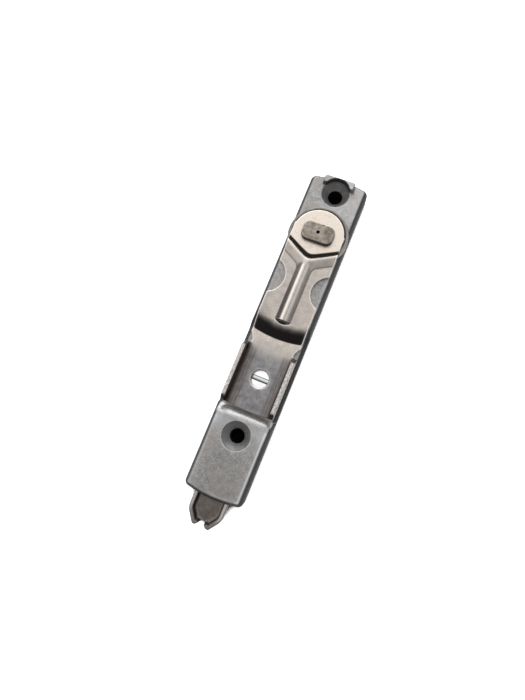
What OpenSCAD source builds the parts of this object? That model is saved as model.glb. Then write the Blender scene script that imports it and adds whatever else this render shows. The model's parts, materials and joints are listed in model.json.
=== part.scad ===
// Edge bolt for the meeting edge of a double door or window.
// A lever riveted to a pinion drives a sliding bolt in a flat die-cast housing.
// X runs across the fitting, +Y towards the lever's pivot and +Z out of its face. The
// origin lies on the back, midway between the two screw holes. The bolt is shown shot.

/* [Housing] */
// Distance between the two screw holes
hole_spacing = 96; // [94:0.5:100]
// Housing beyond the upper screw hole
top_overhang = 6.4; // [6.2:0.1:9]
// Housing beyond the lower screw hole
foot_overhang = 23.5; // [22:0.5:30]
// Width of the housing
housing_w = 22.3; // [22:0.1:25]
// Width of its flat face, between the sloped sides
face_w = 19.2; // [18.6:0.1:19.6]
// Thickness of the housing
housing_h = 7.5; // [7.3:0.1:9]
// Depth of the sloped edge below the face
edge_drop = 2.5; // [1.5:0.1:3]
// Radius of the two convex ends, seen from the front
end_r = 48; // [40:1:80]
// Radius of the housing's corners, seen from the front
corner_r = 2; // [1:0.1:3]
// Thickness of the low floor under the grip, above the bolt's strip
floor_wall = 2.05; // [1.9:0.05:2.2]
// Length of the ramp from the low floor to the lower face
ramp_len = 3.7; // [3.2:0.1:5]
// Chamfer along the sides of the low floor
floor_chamfer = 0.95; // [0.4:0.05:1.1]

/* [Screw holes] */
// Diameter of the screw holes
screw_hole_d = 5.3; // [4.5:0.1:5.5]
// Diameter of the countersinks at the face
sink_d = 10.5; // [9:0.1:10.8]
// Depth of the countersinks
sink_h = 3.2; // [2.5:0.1:3.5]
// Wall round the holes that pass the mechanism
pillar_wall = 1.65; // [1:0.05:1.8]

/* [Stop lug] */
// Width of the lug that stops the open lever
lug_w = 11.6; // [10:0.1:11.8]
// Height of the lug above the face
lug_h = 2.3; // [1.8:0.1:3]
// Length of the lug
lug_len = 3.3; // [2.5:0.1:3.4]
// Diameter of the screw head's way through the lug
lug_bore_d = 9.6; // [9:0.1:9.8]
// Step from the end of the housing to the lug
lug_inset = 1.25; // [1:0.05:1.6]

/* [Lever] */
// Distance from the upper screw hole to the pivot
pivot_to_hole = 18; // [17.6:0.1:20]
// Distance from the pivot to the lever's end
lever_reach = 68.65; // [62:0.1:72]
// Thickness of the lever's steel sheet
sheet_t = 1.5; // [1.2:0.05:1.6]
// Width of the lever
lever_w = 19.1; // [18.6:0.1:19.6]
// Gap between the blade and the housing's face
blade_gap = 0.15; // [0.1:0.01:0.3]
// Rise of the round head above the blade
head_rise = 0.85; // [0.6:0.05:1.2]
// Radius of the round head
head_r = 9.4; // [9:0.1:9.5]
// Distance from the pivot to the start of the step down to the grip
step_from = 34.8; // [33:0.1:36]
// Distance from the pivot to the foot of that step
step_to = 40.6; // [39:0.1:42]
// Gap between the grip plate and the housing's low floor
grip_gap = 0.3; // [0.25:0.05:0.45]
// Width of the grip plate, to the outside of its flanges
grip_w = 20; // [19.4:0.1:20.4]
// Height of the lever's flanges above the housing's face
flange_rise = 4.3; // [3.5:0.1:5.5]
// Diameter of the hole in the grip plate
grip_hole_d = 6.5; // [5.5:0.1:7.5]
// Radius of the side notches that fit over the lug
notch_r = 6.77; // [6.6:0.01:7.2]
// Distance from the pivot to the middle of each side notch
notch_reach = 23.03; // [22.8:0.01:23.2]
// Angle of the notches from the lever's middle line
notch_angle = 31.7; // [31:0.1:32.5]
// Angle that the lever swings through
swing = 147; // [120:1:147]
// Distance from the lever's end to the hole in the grip plate
grip_hole_in = 12.35; // [11:0.05:14]
// Distance from the pivot to the point of the vee-shaped step
vee_tip = 7.9; // [7.5:0.1:8.4]
// Distance from the pivot to the ends of the vee-shaped step
vee_side = 3.2; // [2.5:0.1:4]
// Width of the neck between blade and grip
neck_w = 16.1; // [14:0.1:17]
// Distance from the pivot to the start of the neck
neck_from = 41.1; // [40.8:0.1:41.6]
// Distance from the pivot to the narrowest point of the neck
neck_to = 43.6; // [43:0.1:44]
// Distance from the pivot to the grip's upper corners
grip_from = 45.1; // [44.6:0.1:46]
// Width of the stem of the bead
stem_w = 5.8; // [4.5:0.1:6.5]
// Width of the two arms of the bead
arm_w = 4.3; // [3.5:0.1:5]
// Height of the bead above the blade
bead_h = 1.3; // [1:0.05:1.4]
// Height of its two arms above the blade
arm_h = 1.2; // [0.9:0.05:1.3]
// Distance from the pivot to the fork of the bead
bead_fork = 10.6; // [10:0.1:12]
// Rise of the bead's arms, in degrees
arm_rise = 28; // [25:0.1:30]
// Distance from the pivot to the stem's open end
stem_end = 34.2; // [30:0.1:34.4]
// Length of the slot at the stem's open end
mouth_len = 1; // [0.9:0.1:1.4]

/* [Spindle] */
// Diameter of the spindle's bearing
journal_d = 11.9; // [10.5:0.1:12.2]
// Width of the spindle's head across its flats
stud_w = 6.65; // [5.5:0.05:7.5]
// Height of the peened head above the lever
stud_h = 2; // [1.5:0.1:2.5]
// Step from the peened head to the neck under it
peen = 0.25; // [0.1:0.05:0.4]
// Step from the housing's side to the disc under the lever's head
disc_inset = 0.05; // [0.05:0.05:0.4]
// Thickness of that disc
disc_t = 1.2; // [1:0.1:1.3]
// Height of the dished spring washer under the disc
washer_h = 0.5; // [0.4:0.05:0.6]
// Diameter of the spindle's lower end
tail_d = 4; // [3:0.1:4.2]
// Thickness of the flange that keeps the spindle in its bush
foot_t = 0.4; // [0.3:0.05:0.5]
// Diameter of the spindle inside the pinion
key_d = 6; // [5:0.1:6.2]
// Width of the spindle inside the pinion, across its flats
key_w = 4.6; // [4:0.1:5]
// Diameter of the centre mark on the peened head
mark_d = 1.4; // [0.8:0.1:2]
// Wall of the bearing bush in the housing
bush_wall = 0.8; // [0.6:0.05:1]

/* [Gear] */
// Module of the teeth
tooth_module = 0.8; // [0.75:0.01:0.82]
// Teeth on the pinion
teeth = 11; // [11]
// Height of the teeth, as modules above and below the pitch line
tooth_height = 0.8; // [0.7:0.02:0.85]
// Pressure angle of the teeth
pressure_angle = 25; // [23:1:25]
// Thickness of the rack and pinion
gear_t = 1.8; // [1.4:0.1:1.9]
// Play on each flank of a tooth
tooth_play = 0.05; // [0.04:0.01:0.08]

/* [Bolt] */
// Width of the bolt
bolt_w = 12.95; // [12.6:0.05:13.2]
// Height of the bolt over its flanges
bolt_h = 4.1; // [3.4:0.1:4.2]
// Thickness of the bolt's steel
bolt_t = 1.5; // [1.2:0.1:1.6]
// Distance that the shot bolt stands out of the housing
throw = 10.3; // [8:0.1:10.5]
// Length of the bolt's tapered tip
tip_len = 4.7; // [3.5:0.1:5.5]
// Distance between the two prongs of the tip
prong_gap = 5.2; // [4.6:0.1:6]
// Radius of the prongs' ends
prong_r = 1.05; // [0.8:0.05:1.2]
// Radius of the notch between the prongs
tip_notch_r = 1.6; // [1.2:0.05:1.8]

/* [Cover] */
// Thickness of the back cover
cover_t = 1; // [0.8:0.1:1.1]
// Width of the back cover
cover_w = 20.2; // [19.8:0.1:20.6]
// Rim of the housing below and above the cover
cover_rim = 1.9; // [1.5:0.1:2.5]
// Diameter of the rivets that hold the cover
rivet_d = 1.8; // [1.4:0.1:1.8]

/* [Grip screw] */
// Diameter of the slotted screw's head
head_d = 9.4; // [8:0.1:9.8]
// Thickness of that head
head_t = 1.25; // [1:0.05:1.3]
// Width of its slot
slot_w = 1.8; // [1.2:0.1:2.2]
// Diameter of its thread
thread_d = 5; // [4:0.1:5.2]

/* [Fits] */
// Gap beside and above each sliding piece
slide_gap = 0.1; // [0.06:0.01:0.12]
// Gap round each turning pin
pin_gap = 0.05; // [0.02:0.01:0.08]
// Room left at the ends of each travel
end_room = 0.4; // [0.3:0.05:0.5]

/* [Hidden] */
$fn = 64;
skin = 0.01;
far = 200;

hole_y = hole_spacing / 2;
pivot_y = hole_y - pivot_to_hole;
top_y = hole_y + top_overhang;
foot_y = -hole_y - foot_overhang;
side_in = (housing_w - face_w) / 2;
disc_d = housing_w - 2 * disc_inset;
edge_power = 1.55;
edge_steps = 7;

// Heights, from the back upwards
strip_z = cover_t + slide_gap;
strip_top = strip_z + bolt_t;
bolt_top = strip_z + bolt_h;
rack_top = strip_top + gear_t;
pinion_z = strip_top + slide_gap;
pinion_top = rack_top;
tail_bush_top = pinion_z - 0.35;
rack_ceiling = rack_top + slide_gap + pin_gap;
strip_ceiling = strip_top + slide_gap + pin_gap;
floor_z = strip_ceiling + floor_wall;
pocket_drop = housing_h - floor_z;
blade_z = housing_h + blade_gap;
head_z = blade_z + head_rise;
plate_z = floor_z + grip_gap;
disc_z = head_z - disc_t;
recess_z = disc_z - washer_h;
stud_z = head_z + sheet_t;
flange_top = housing_h + flange_rise;

// Gear
pitch_r = tooth_module * teeth / 2;
tooth_pitch = PI * tooth_module;
tooth_add = tooth_height * tooth_module;
tip_r = pitch_r + tooth_add;
root_gap = 0.16;
root_r = pitch_r - tooth_add - root_gap;
base_r = pitch_r * cos(pressure_angle);
travel = pitch_r * swing * PI / 180;
flank_steps = 6;

// Places along the fitting
pillar_d = screw_hole_d + 2 * pillar_wall;
screw_y = pivot_y - lever_reach + grip_hole_in;
ramp_gap = 0.35;
hole_bevel = 0.4;
ramp_y = pivot_y - lever_reach - ramp_gap;
ramp_top_y = ramp_y - ramp_len;
bolt_tip_y = foot_y - throw;
flange_back = 2.7;
flange_end_y = ramp_y - flange_back - travel;
drop_gap = 0.9;
pad_from = pivot_y - step_from + drop_gap + slide_gap;
pad_to = pivot_y - tip_r - travel - 2 * end_room;
arm_end = pivot_y + tooth_pitch + end_room;
bush_r = tail_d / 2 + pin_gap + 0.85;
window_r = bush_r + end_room;
window_y = pivot_y - travel - window_r;
slot_r = pillar_d / 2 + slide_gap;
rack_half = bolt_w / 2 + 0.95;
rack_root_x = pitch_r + tooth_add + root_gap;
rack_rivet_d = 2.5;
rail_half = bolt_w / 2 + slide_gap;

half_lever = lever_w / 2;
blade_lap = 1.2;
cover_top_y = hole_y - screw_hole_d / 2 - cover_rim;

// Side notches: their middle lies where the lug comes when the lever is fully open
notch_x = notch_reach * sin(notch_angle);
notch_y = pivot_y - notch_reach * cos(notch_angle);

// Bore in the housing for the spindle's bush
bore_d = journal_d + 2 * (pin_gap + bush_wall);

// Slotted screw, its collar and the friction spring
collar_d = thread_d + 1.6;
collar_h = 1.4;
head_seat_z = floor_z - pin_gap - head_t;
spring_len = 14;
spring_deep = 2.6;
spring_t = 0.35;
spring_y = screw_y - 1;

// Cover rivets, in three pairs: near both ends, and beside the low floor
rivet_in = 5.2;
rivet_x = cover_w / 2 - rivet_d / 2 - 0.2;
rivet_ys = [foot_y + cover_rim + rivet_in, pivot_y - step_to, cover_top_y - rivet_in];
rivet_len = 3.4;

// Points of an involute from the base circle to the tip circle
function inv_angle(r) = let (a = acos(base_r / r)) tan(a) * 180 / PI - a;
function tooth_half(r) =
    90 / teeth - tooth_play / pitch_r * 180 / PI + inv_angle(pitch_r) - inv_angle(r);
function polar(r, a) = [r * cos(a), r * sin(a)];
function flank(side) = [for (i = [0 : flank_steps])
    let (r = base_r + (tip_r - base_r) * i / flank_steps) polar(r, side * tooth_half(r))];

// A half-round spring profile: a raised cosine between two flat ends
function bow(u, reach) = reach * (0.5 + 0.5 * cos(180 * u));

module at(y, z = 0) {
    translate([0, y, z]) children();
}

module box(x0, x1, y0, y1, z0, z1) {
    translate([x0, y0, z0]) cube([x1 - x0, y1 - y0, z1 - z0]);
}

// A box centred on X
module slab(half, y0, y1, z0, z1) {
    box(-half, half, y0, y1, z0, z1);
}

// A long hole seen from the front, with round ends centred at y0 and y1
module long_hole(r, y0, y1, z0, z1) {
    for (y = [y0, y1]) at(y, z0) cylinder(r = r, h = z1 - z0);
    slab(r, y0, y1, z0, z1);
}

// A round bar with two flats
module double_d(d, flat, h) {
    intersection() {
        cylinder(d = d, h = h);
        translate([-d, -flat / 2, -skin]) cube([2 * d, flat, h + 2 * skin]);
    }
}

// The rounded edge's outline, from the back to the face: a curve between circle and chamfer
function edge_points(outer) = concat([[outer, 0]], [for (i = [0 : edge_steps])
    let (a = 90 * i / edge_steps)
    [outer - side_in * (1 - pow(cos(a), 2 / edge_power)),
     housing_h - edge_drop * (1 - pow(sin(a), 2 / edge_power))]]);

module side_prism() {
    pts = edge_points(housing_w / 2);
    rotate([90, 0, 0]) translate([0, 0, -far / 2]) linear_extrude(far)
        polygon(concat(pts, [for (i = [len(pts) - 1 : -1 : 0]) [-pts[i][0], pts[i][1]]]));
}

module end_disc(y) {
    at(y) rotate_extrude($fn = 256) polygon(concat([[0, 0]], edge_points(end_r), [[0, housing_h]]));
}

// Rounds the four corners, tangent to the sides and to the convex ends
module corner_mask() {
    cx = housing_w / 2 - corner_r;
    rise = sqrt(pow(end_r - corner_r, 2) - cx * cx);
    tangent_x = cx * end_r / (end_r - corner_r);
    upper = top_y - end_r + rise;
    lower = foot_y + end_r - rise;
    slab(housing_w / 2, lower, upper, 0, housing_h);
    slab(tangent_x, foot_y, top_y, 0, housing_h);
    for (x = [-cx, cx], y = [lower, upper])
        translate([x, y, 0]) cylinder(r = corner_r, h = housing_h);
}

module casting_block() {
    intersection() {
        side_prism();
        union() {
            end_disc(top_y - end_r);
            end_disc(foot_y + end_r);
        }
        corner_mask();
    }
}

// Room for the grip: an annulus about the pivot, ended by the ramp
module grip_pocket() {
    from = step_from - drop_gap;
    to = step_to - drop_gap;
    crest = ramp_y - ramp_len * 0.62;
    intersection() {
        at(pivot_y) rotate_extrude($fn = 256)
            polygon([[from, housing_h], [to, floor_z], [far / 2, floor_z],
                     [far / 2, far], [from, far]]);
        rotate([90, 0, 90]) translate([0, 0, -far / 2]) linear_extrude(far)
            polygon([[pivot_y, floor_z], [ramp_y, floor_z], [crest, floor_z + pocket_drop * 0.8],
                     [ramp_top_y, housing_h], [ramp_top_y, far], [pivot_y, far]]);
    }
}

module pocket_chamfers() {
    for (side = [-1, 1]) intersection() {
        rotate([90, 0, 0]) translate([0, 0, -far / 2]) linear_extrude(far)
            polygon([[side * (housing_w / 2 - floor_chamfer), floor_z],
                     [side * far, floor_z],
                     [side * far, floor_z - floor_chamfer],
                     [side * housing_w / 2, floor_z - floor_chamfer]]);
        slab(far, ramp_y, pivot_y - step_to + drop_gap, 0, housing_h);
    }
}

module screw_sink() {
    cylinder(d = screw_hole_d, h = far, center = true);
    translate([0, 0, housing_h - sink_h]) cylinder(d1 = screw_hole_d, d2 = sink_d, h = sink_h);
    translate([0, 0, housing_h - skin]) cylinder(d = lug_bore_d, h = lug_h + 1);
}

// Two claws and a thin web round the screw head, which stop the open lever
module stop_lug() {
    outer = top_y - lug_inset;
    tip = 0.9;
    intersection() {
        slab(lug_w / 2, outer - lug_len, outer, housing_h - 1, housing_h + lug_h);
        union() {
            slab(lug_w / 2, outer - lug_len, outer - tip, 0, far);
            slab(lug_w / 2 - tip, outer - lug_len, outer, 0, far);
            for (side = [-1, 1])
                translate([side * (lug_w / 2 - tip), outer - tip, 0]) cylinder(r = tip, h = far);
        }
    }
}

module bolt_channel() {
    channel_end = flange_end_y + travel + end_room;
    slab(rail_half, foot_y - 1, channel_end, cover_t - skin, bolt_top + slide_gap);
    slab(rail_half, channel_end - 1, pivot_y, cover_t - skin, strip_ceiling);
}

module rack_channel() {
    half = rack_half + slide_gap;
    turn_r = tip_r + 2 * end_room;
    slab(half, pad_from - end_room, pivot_y, cover_t - skin, rack_ceiling);
    at(pivot_y, cover_t - skin) cylinder(r = turn_r, h = rack_ceiling - cover_t + skin);
    for (side = [-1, 1]) {
        x0 = side < 0 ? -half : window_r - end_room;
        x1 = side < 0 ? end_room - window_r : half;
        box(x0, x1, pivot_y - 1, arm_end + travel + end_room, cover_t - skin, rack_ceiling);
    }
}

// Pocket in the left wall for the friction spring
module spring_pocket() {
    box(-rail_half - spring_deep, 0, spring_y - spring_len / 2 - pin_gap,
        spring_y + spring_len / 2 + pin_gap, cover_t - skin, strip_ceiling);
}

module housing_pillar(y, z0, z1) {
    at(y, z0) cylinder(d = pillar_d, h = z1 - z0);
}

module cover_plan(grow, z0, z1) {
    y0 = foot_y + cover_rim - grow;
    y1 = cover_top_y + grow;
    half = cover_w / 2 + grow;
    slab(half, y0 + corner_r, y1 - corner_r, z0, z1);
    slab(half - corner_r, y0, y1, z0, z1);
    for (x = [corner_r - half, half - corner_r], y = [y0 + corner_r, y1 - corner_r])
        translate([x, y, z0]) cylinder(r = corner_r, h = z1 - z0);
}

module rivet_places() {
    for (y = rivet_ys, side = [-1, 1]) translate([side * rivet_x, y, 0]) children();
}

module housing() {
    color("darkgray") difference() {
        union() {
            difference() {
                union() {
                    casting_block();
                    stop_lug();
                }
                bolt_channel();
                rack_channel();
                spring_pocket();
                grip_pocket();
                pocket_chamfers();
            }
            housing_pillar(-hole_y, 0, bolt_top + 1);
            housing_pillar(screw_y, cover_t, strip_ceiling + skin);
        }
        difference() {
            cover_plan(pin_gap, -1, cover_t);
            housing_pillar(-hole_y, -1, cover_t);
        }
        for (y = [-hole_y, hole_y]) at(y) screw_sink();
        at(pivot_y, recess_z) cylinder(d = disc_d + 4 * pin_gap, h = far, $fn = 128);
        at(pivot_y) cylinder(d = bore_d, h = far);
        at(screw_y, head_seat_z) cylinder(d = head_d + 4 * pin_gap, h = far);
        at(screw_y) cylinder(d = thread_d + 4 * pin_gap, h = far);
        at(screw_y) cylinder(d = collar_d + 2 * pin_gap, h = cover_t + collar_h + 2 * pin_gap);
        rivet_places() cylinder(d = rivet_d, h = rivet_len);
    }
}

// Blade, step and grip plate in one sheet, turned about the pivot
module sheet_sweep() {
    from = vee_tip / 2;
    at(pivot_y) rotate([0, 0, 180]) rotate_extrude(angle = 180, $fn = 256)
        polygon([[from, blade_z], [step_from, blade_z], [step_to, plate_z], [lever_reach, plate_z],
                 [lever_reach, plate_z + sheet_t], [step_to, plate_z + sheet_t],
                 [step_from, blade_z + sheet_t], [from, blade_z + sheet_t]]);
}

// The round head above the vee-shaped step, seen from the front
module head_outline() {
    shoulder = 1.9;
    intersection() {
        polygon([[-half_lever, far], [-half_lever, -vee_side], [0, -vee_tip],
                 [half_lever, -vee_side], [half_lever, far]]);
        union() {
            circle(r = head_r, $fn = 128);
            translate([-half_lever, -vee_tip]) square([lever_w, vee_tip + shoulder]);
        }
    }
}

// Outline of the flat sheet below the head, seen from the front
module sheet_outline() {
    flare = 0.2;
    side_y = pivot_y - vee_side + blade_lap;
    difference() {
        polygon([[-half_lever, side_y], [0, pivot_y - vee_tip + blade_lap], [half_lever, side_y],
                 [half_lever, pivot_y - neck_from], [neck_w / 2, pivot_y - neck_to],
                 [neck_w / 2 + flare, pivot_y - grip_from], [grip_w / 2, pivot_y - grip_from],
                 [grip_w / 2, -far], [-grip_w / 2, -far], [-grip_w / 2, pivot_y - grip_from],
                 [-neck_w / 2 - flare, pivot_y - grip_from], [-neck_w / 2, pivot_y - neck_to],
                 [-half_lever, pivot_y - neck_from]]);
        for (side = [-1, 1]) translate([side * notch_x, notch_y]) circle(r = notch_r);
    }
}

// A half-round bead of width w and height h above the blade, along +X of its own frame.
// Its hollow is a bead that lies deeper by the sheet's thickness.
module bead(w, h, len, deep) {
    r = (w * w / 4 + h * h) / (2 * h);
    translate([0, 0, blade_z + sheet_t + h - r]) rotate([0, 90, 0]) cylinder(r = r - deep, h = len);
}

// The Y-shaped bead; lead starts the stem above the fork
module bead_set(deep, lead) {
    at(pivot_y - bead_fork) {
        at(lead) rotate([0, 0, -90]) bead(stem_w, bead_h, stem_end - bead_fork + lead, deep);
        for (a = [arm_rise, 180 - arm_rise]) rotate([0, 0, a]) bead(arm_w, arm_h, lever_w, deep);
    }
}

module lever_flange(side) {
    x = side < 0 ? -grip_w / 2 : grip_w / 2 - sheet_t;
    slope_top = 2.1;
    slope_foot = 1.6;
    inset = 0.3;
    y_top = pivot_y - grip_from - inset;
    y_foot = pivot_y - sqrt(pow(lever_reach, 2) - pow(grip_w / 2, 2)) + inset;
    translate([x, 0, 0]) rotate([90, 0, 90]) linear_extrude(sheet_t)
        polygon([[y_top, plate_z], [y_top, plate_z + sheet_t], [y_top - slope_top, flange_top],
                 [y_foot + slope_foot, flange_top], [y_foot, flange_top - 1.1 * slope_foot],
                 [y_foot, plate_z]]);
}

module lever() {
    color("tan") difference() {
        union() {
            intersection() {
                sheet_sweep();
                linear_extrude(far) sheet_outline();
            }
            at(pivot_y, head_z) linear_extrude(sheet_t) head_outline();
            intersection() {
                bead_set(0, 0);
                slab(half_lever, pivot_y - stem_end, pivot_y - vee_side + 1, blade_z, far);
            }
            for (side = [-1, 1]) lever_flange(side);
        }
        intersection() {
            bead_set(sheet_t - 0.2, 0.6);
            slab(half_lever + 1, pivot_y - stem_end - mouth_len / 3, pivot_y - vee_side, 0, far);
        }
        at(pivot_y - stem_end, 0) intersection() {
            slab(stem_w / 2 - 0.4, -2 * mouth_len, 0, 0, far);
            translate([0, stem_w, 0]) cylinder(r = stem_w + mouth_len, h = far);
        }
        at(pivot_y) double_d(journal_d - 2 * peen, stud_w - 2 * peen, far);
        at(screw_y) cylinder(d = grip_hole_d, h = far);
        at(screw_y, plate_z + sheet_t - hole_bevel)
            cylinder(d1 = grip_hole_d, d2 = grip_hole_d + 2 * hole_bevel, h = hole_bevel + skin);
    }
}

module spindle() {
    neck = 2 * peen;
    mark_deep = 1;
    color("dimgray") at(pivot_y) difference() {
        union() {
            translate([0, 0, pin_gap]) cylinder(d = tail_d, h = pinion_z);
            translate([0, 0, pinion_z]) double_d(key_d, key_w, gear_t);
            translate([0, 0, pinion_top]) cylinder(r = root_r - pin_gap, h = foot_t);
            translate([0, 0, rack_ceiling]) cylinder(d = bore_d - 4 * pin_gap, h = foot_t);
            translate([0, 0, rack_ceiling]) cylinder(d = journal_d, h = disc_z - rack_ceiling);
            translate([0, 0, disc_z]) double_d(journal_d - neck, stud_w - neck, stud_z - disc_z);
            translate([0, 0, stud_z]) double_d(journal_d, stud_w, stud_h);
        }
        translate([0, 0, stud_z + stud_h - mark_deep]) cylinder(d = mark_d, h = 2 * mark_deep);
    }
}

// Round outside, with a vee cut out where the blade steps down beside it
module thrust_disc() {
    half = half_lever + pin_gap;
    color("gray") at(pivot_y, disc_z) difference() {
        cylinder(d = disc_d, h = disc_t, $fn = 128);
        translate([0, 0, -1]) double_d(journal_d - 2 * peen, stud_w - 2 * peen, far);
        translate([0, 0, -1]) linear_extrude(far)
            polygon([[-half, -far], [-half, blade_lap + pin_gap - vee_side],
                     [0, blade_lap + pin_gap - vee_tip], [half, blade_lap + pin_gap - vee_side],
                     [half, -far]]);
    }
}

module spring_washer() {
    t = washer_h / 2;
    inner = journal_d / 2 + 0.6;
    outer = inner + 2.6;
    color("silver") at(pivot_y) rotate_extrude()
        polygon([[inner, disc_z - t], [inner, disc_z],
                 [outer, recess_z + t + skin], [outer, recess_z + skin]]);
}

module spindle_bush() {
    foot = rack_ceiling + foot_t + pin_gap;
    color("goldenrod") at(pivot_y, foot) difference() {
        cylinder(d = bore_d, h = recess_z - foot);
        translate([0, 0, -1]) cylinder(d = journal_d + 2 * pin_gap, h = far);
    }
}

module pinion_tooth(angle) {
    rotate(angle) polygon(concat([[0, 0], polar(root_r - 0.2, -tooth_half(base_r))], flank(-1),
        [for (i = [flank_steps : -1 : 0]) flank(1)[i]], [polar(root_r - 0.2, tooth_half(base_r))]));
}

module pinion() {
    color("slategray") at(pivot_y, pinion_z) difference() {
        linear_extrude(pinion_top - pinion_z) {
            circle(r = root_r);
            for (i = [0 : teeth - 1]) pinion_tooth(i * 360 / teeth);
        }
        translate([0, 0, -1]) double_d(key_d, key_w, far);
    }
}

module shim_washer() {
    color("silver") at(pivot_y, tail_bush_top + pin_gap) difference() {
        cylinder(r = bush_r - 0.1, h = pinion_z - tail_bush_top - 2 * pin_gap);
        translate([0, 0, -1]) cylinder(d = tail_d + 2 * pin_gap, h = far);
    }
}

module tail_bush() {
    color("goldenrod") at(pivot_y) difference() {
        cylinder(r = bush_r, h = tail_bush_top);
        translate([0, 0, -1]) cylinder(d = tail_d + 2 * pin_gap, h = far);
    }
}

// Outline of one rack tooth at y, from its upper foot to its lower foot
function rack_tooth(y) =
    let (half = tooth_pitch / 4 - tooth_play,
         tip = half - tooth_add * tan(pressure_angle),
         foot = half + (tooth_add + root_gap) * tan(pressure_angle))
    [[rack_root_x, y + foot], [pitch_r - tooth_add, y + tip],
     [pitch_r - tooth_add, y - tip], [rack_root_x, y - foot]];

module rack() {
    count = ceil(travel / tooth_pitch) + 2;
    color("slategray") difference() {
        at(0, strip_top) linear_extrude(gear_t) polygon(concat(
            [[-rack_half, pad_to], [-rack_half, pad_from], [rack_half, pad_from],
             [rack_half, arm_end], [rack_root_x, arm_end]],
            [for (i = [0 : count - 1]) each rack_tooth(pivot_y + (0.5 - i) * tooth_pitch)],
            [[rack_root_x, pad_to]]));
        rack_rivet_places() cylinder(d = rack_rivet_d, h = far);
    }
}

module rack_rivet_places() {
    inset = 3.6;
    for (y = [pad_from + inset, min(pad_to, window_y) - inset]) at(y) children();
}

module rack_rivets() {
    color("silver") rack_rivet_places() translate([0, 0, strip_z])
        cylinder(d = rack_rivet_d, h = rack_top - strip_z);
}

// The bolt seen from the front: straight sides, tapered tip with two prongs
module bolt_plan(inset) {
    half = bolt_w / 2 - inset;
    reach = bolt_tip_y + inset;
    px = prong_gap / 2;
    shoulder_y = bolt_tip_y + tip_len;
    union() {
        polygon([[-half, flange_end_y], [-half, shoulder_y], [-px - prong_r * 0.7 + inset * 0.6,
                 reach + prong_r * 0.4], [-px, reach + prong_r], [px, reach + prong_r],
                 [px + prong_r * 0.7 - inset * 0.6, reach + prong_r * 0.4],
                 [half, shoulder_y], [half, flange_end_y]]);
        if (inset == 0)
            for (side = [-1, 1]) translate([side * px, bolt_tip_y + prong_r]) circle(r = prong_r);
    }
}

module bolt() {
    half = bolt_w / 2;
    color("gray") difference() {
        union() {
            at(0, strip_z) linear_extrude(bolt_h) bolt_plan(0);
            slab(half, flange_end_y - skin, arm_end, strip_z, strip_top);
        }
        at(0, strip_top) linear_extrude(far) {
            bolt_plan(bolt_t);
            translate([bolt_t - half, flange_end_y - 1]) square([bolt_w - 2 * bolt_t, 2]);
        }
        at(bolt_tip_y) cylinder(r = tip_notch_r, h = far);
        long_hole(slot_r, -hole_y - travel - end_room, -hole_y + end_room, 0, far);
        long_hole(slot_r, screw_y - travel - end_room, screw_y + end_room, 0, far);
        slab(window_r, window_y, arm_end + 1, 0, far);
        rack_rivet_places() cylinder(d = rack_rivet_d, h = far);
    }
}

// A bowed leaf whose back presses on the strip's edge
module friction_spring() {
    steps = 24;
    nose = rail_half - slide_gap + skin;
    reach = spring_deep + slide_gap - spring_t - pin_gap;
    inner = [for (i = [-steps : steps])
        [-nose - reach + bow(i / steps, reach), spring_y + spring_len / 2 * i / steps]];
    outer = [for (i = [steps : -1 : -steps])
        [-nose - reach + bow(i / steps, reach) - spring_t, spring_y + spring_len / 2 * i / steps]];
    color("silver") at(0, strip_z) linear_extrude(bolt_t) polygon(concat(inner, outer));
}

module back_cover() {
    color("lightgray") difference() {
        cover_plan(0, 0, cover_t);
        at(-hole_y, -1) cylinder(d = pillar_d + 4 * pin_gap, h = far);
        at(screw_y, -1) cylinder(d = collar_d, h = far);
        at(pivot_y, -1) cylinder(r = bush_r, h = far);
        rivet_places() translate([0, 0, -1]) cylinder(d = rivet_d, h = far);
    }
}

module cover_rivets() {
    color("silver") rivet_places() cylinder(d = rivet_d, h = rivet_len);
}

module cover_collar() {
    color("silver") at(screw_y) difference() {
        cylinder(d = collar_d, h = cover_t + collar_h);
        translate([0, 0, -1]) cylinder(d = thread_d + 2 * pin_gap, h = far);
    }
}

module cover_screw() {
    slot_deep = 0.7;
    color("white") at(screw_y) difference() {
        union() {
            translate([0, 0, head_seat_z]) cylinder(d = head_d, h = head_t);
            translate([0, 0, pin_gap]) cylinder(d = thread_d, h = head_seat_z);
        }
        translate([-head_d, -slot_w / 2, head_seat_z + head_t - slot_deep])
            cube([2 * head_d, slot_w, 1]);
    }
}

housing();
lever();
spindle();
thrust_disc();
spring_washer();
spindle_bush();
pinion();
shim_washer();
tail_bush();
rack();
rack_rivets();
bolt();
friction_spring();
back_cover();
cover_rivets();
cover_screw();
cover_collar();
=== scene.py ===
"""Edge bolt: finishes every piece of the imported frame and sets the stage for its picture."""

import json
import math

import bpy
import numpy as np
from bpy.props import FloatProperty, FloatVectorProperty, PointerProperty
from mathutils import Matrix, Vector
from mathutils.geometry import delaunay_2d_cdt


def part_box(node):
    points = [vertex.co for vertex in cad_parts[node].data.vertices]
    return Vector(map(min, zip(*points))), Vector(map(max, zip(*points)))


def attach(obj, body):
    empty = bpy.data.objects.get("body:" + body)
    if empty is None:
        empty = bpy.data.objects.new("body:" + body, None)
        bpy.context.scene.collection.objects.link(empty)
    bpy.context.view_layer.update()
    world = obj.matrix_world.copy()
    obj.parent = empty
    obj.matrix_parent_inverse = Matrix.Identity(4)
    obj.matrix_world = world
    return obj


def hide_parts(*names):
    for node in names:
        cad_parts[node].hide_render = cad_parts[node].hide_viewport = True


bl_info = {
    "name": "Edge bolt",
    "version": (1, 0, 0),
    "blender": (4, 5, 0),
    "location": "View3D > Sidebar > Edge bolt",
    "description": "Finishes the pieces of a flat edge bolt around its packed frame",
    "category": "Object",
}

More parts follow.
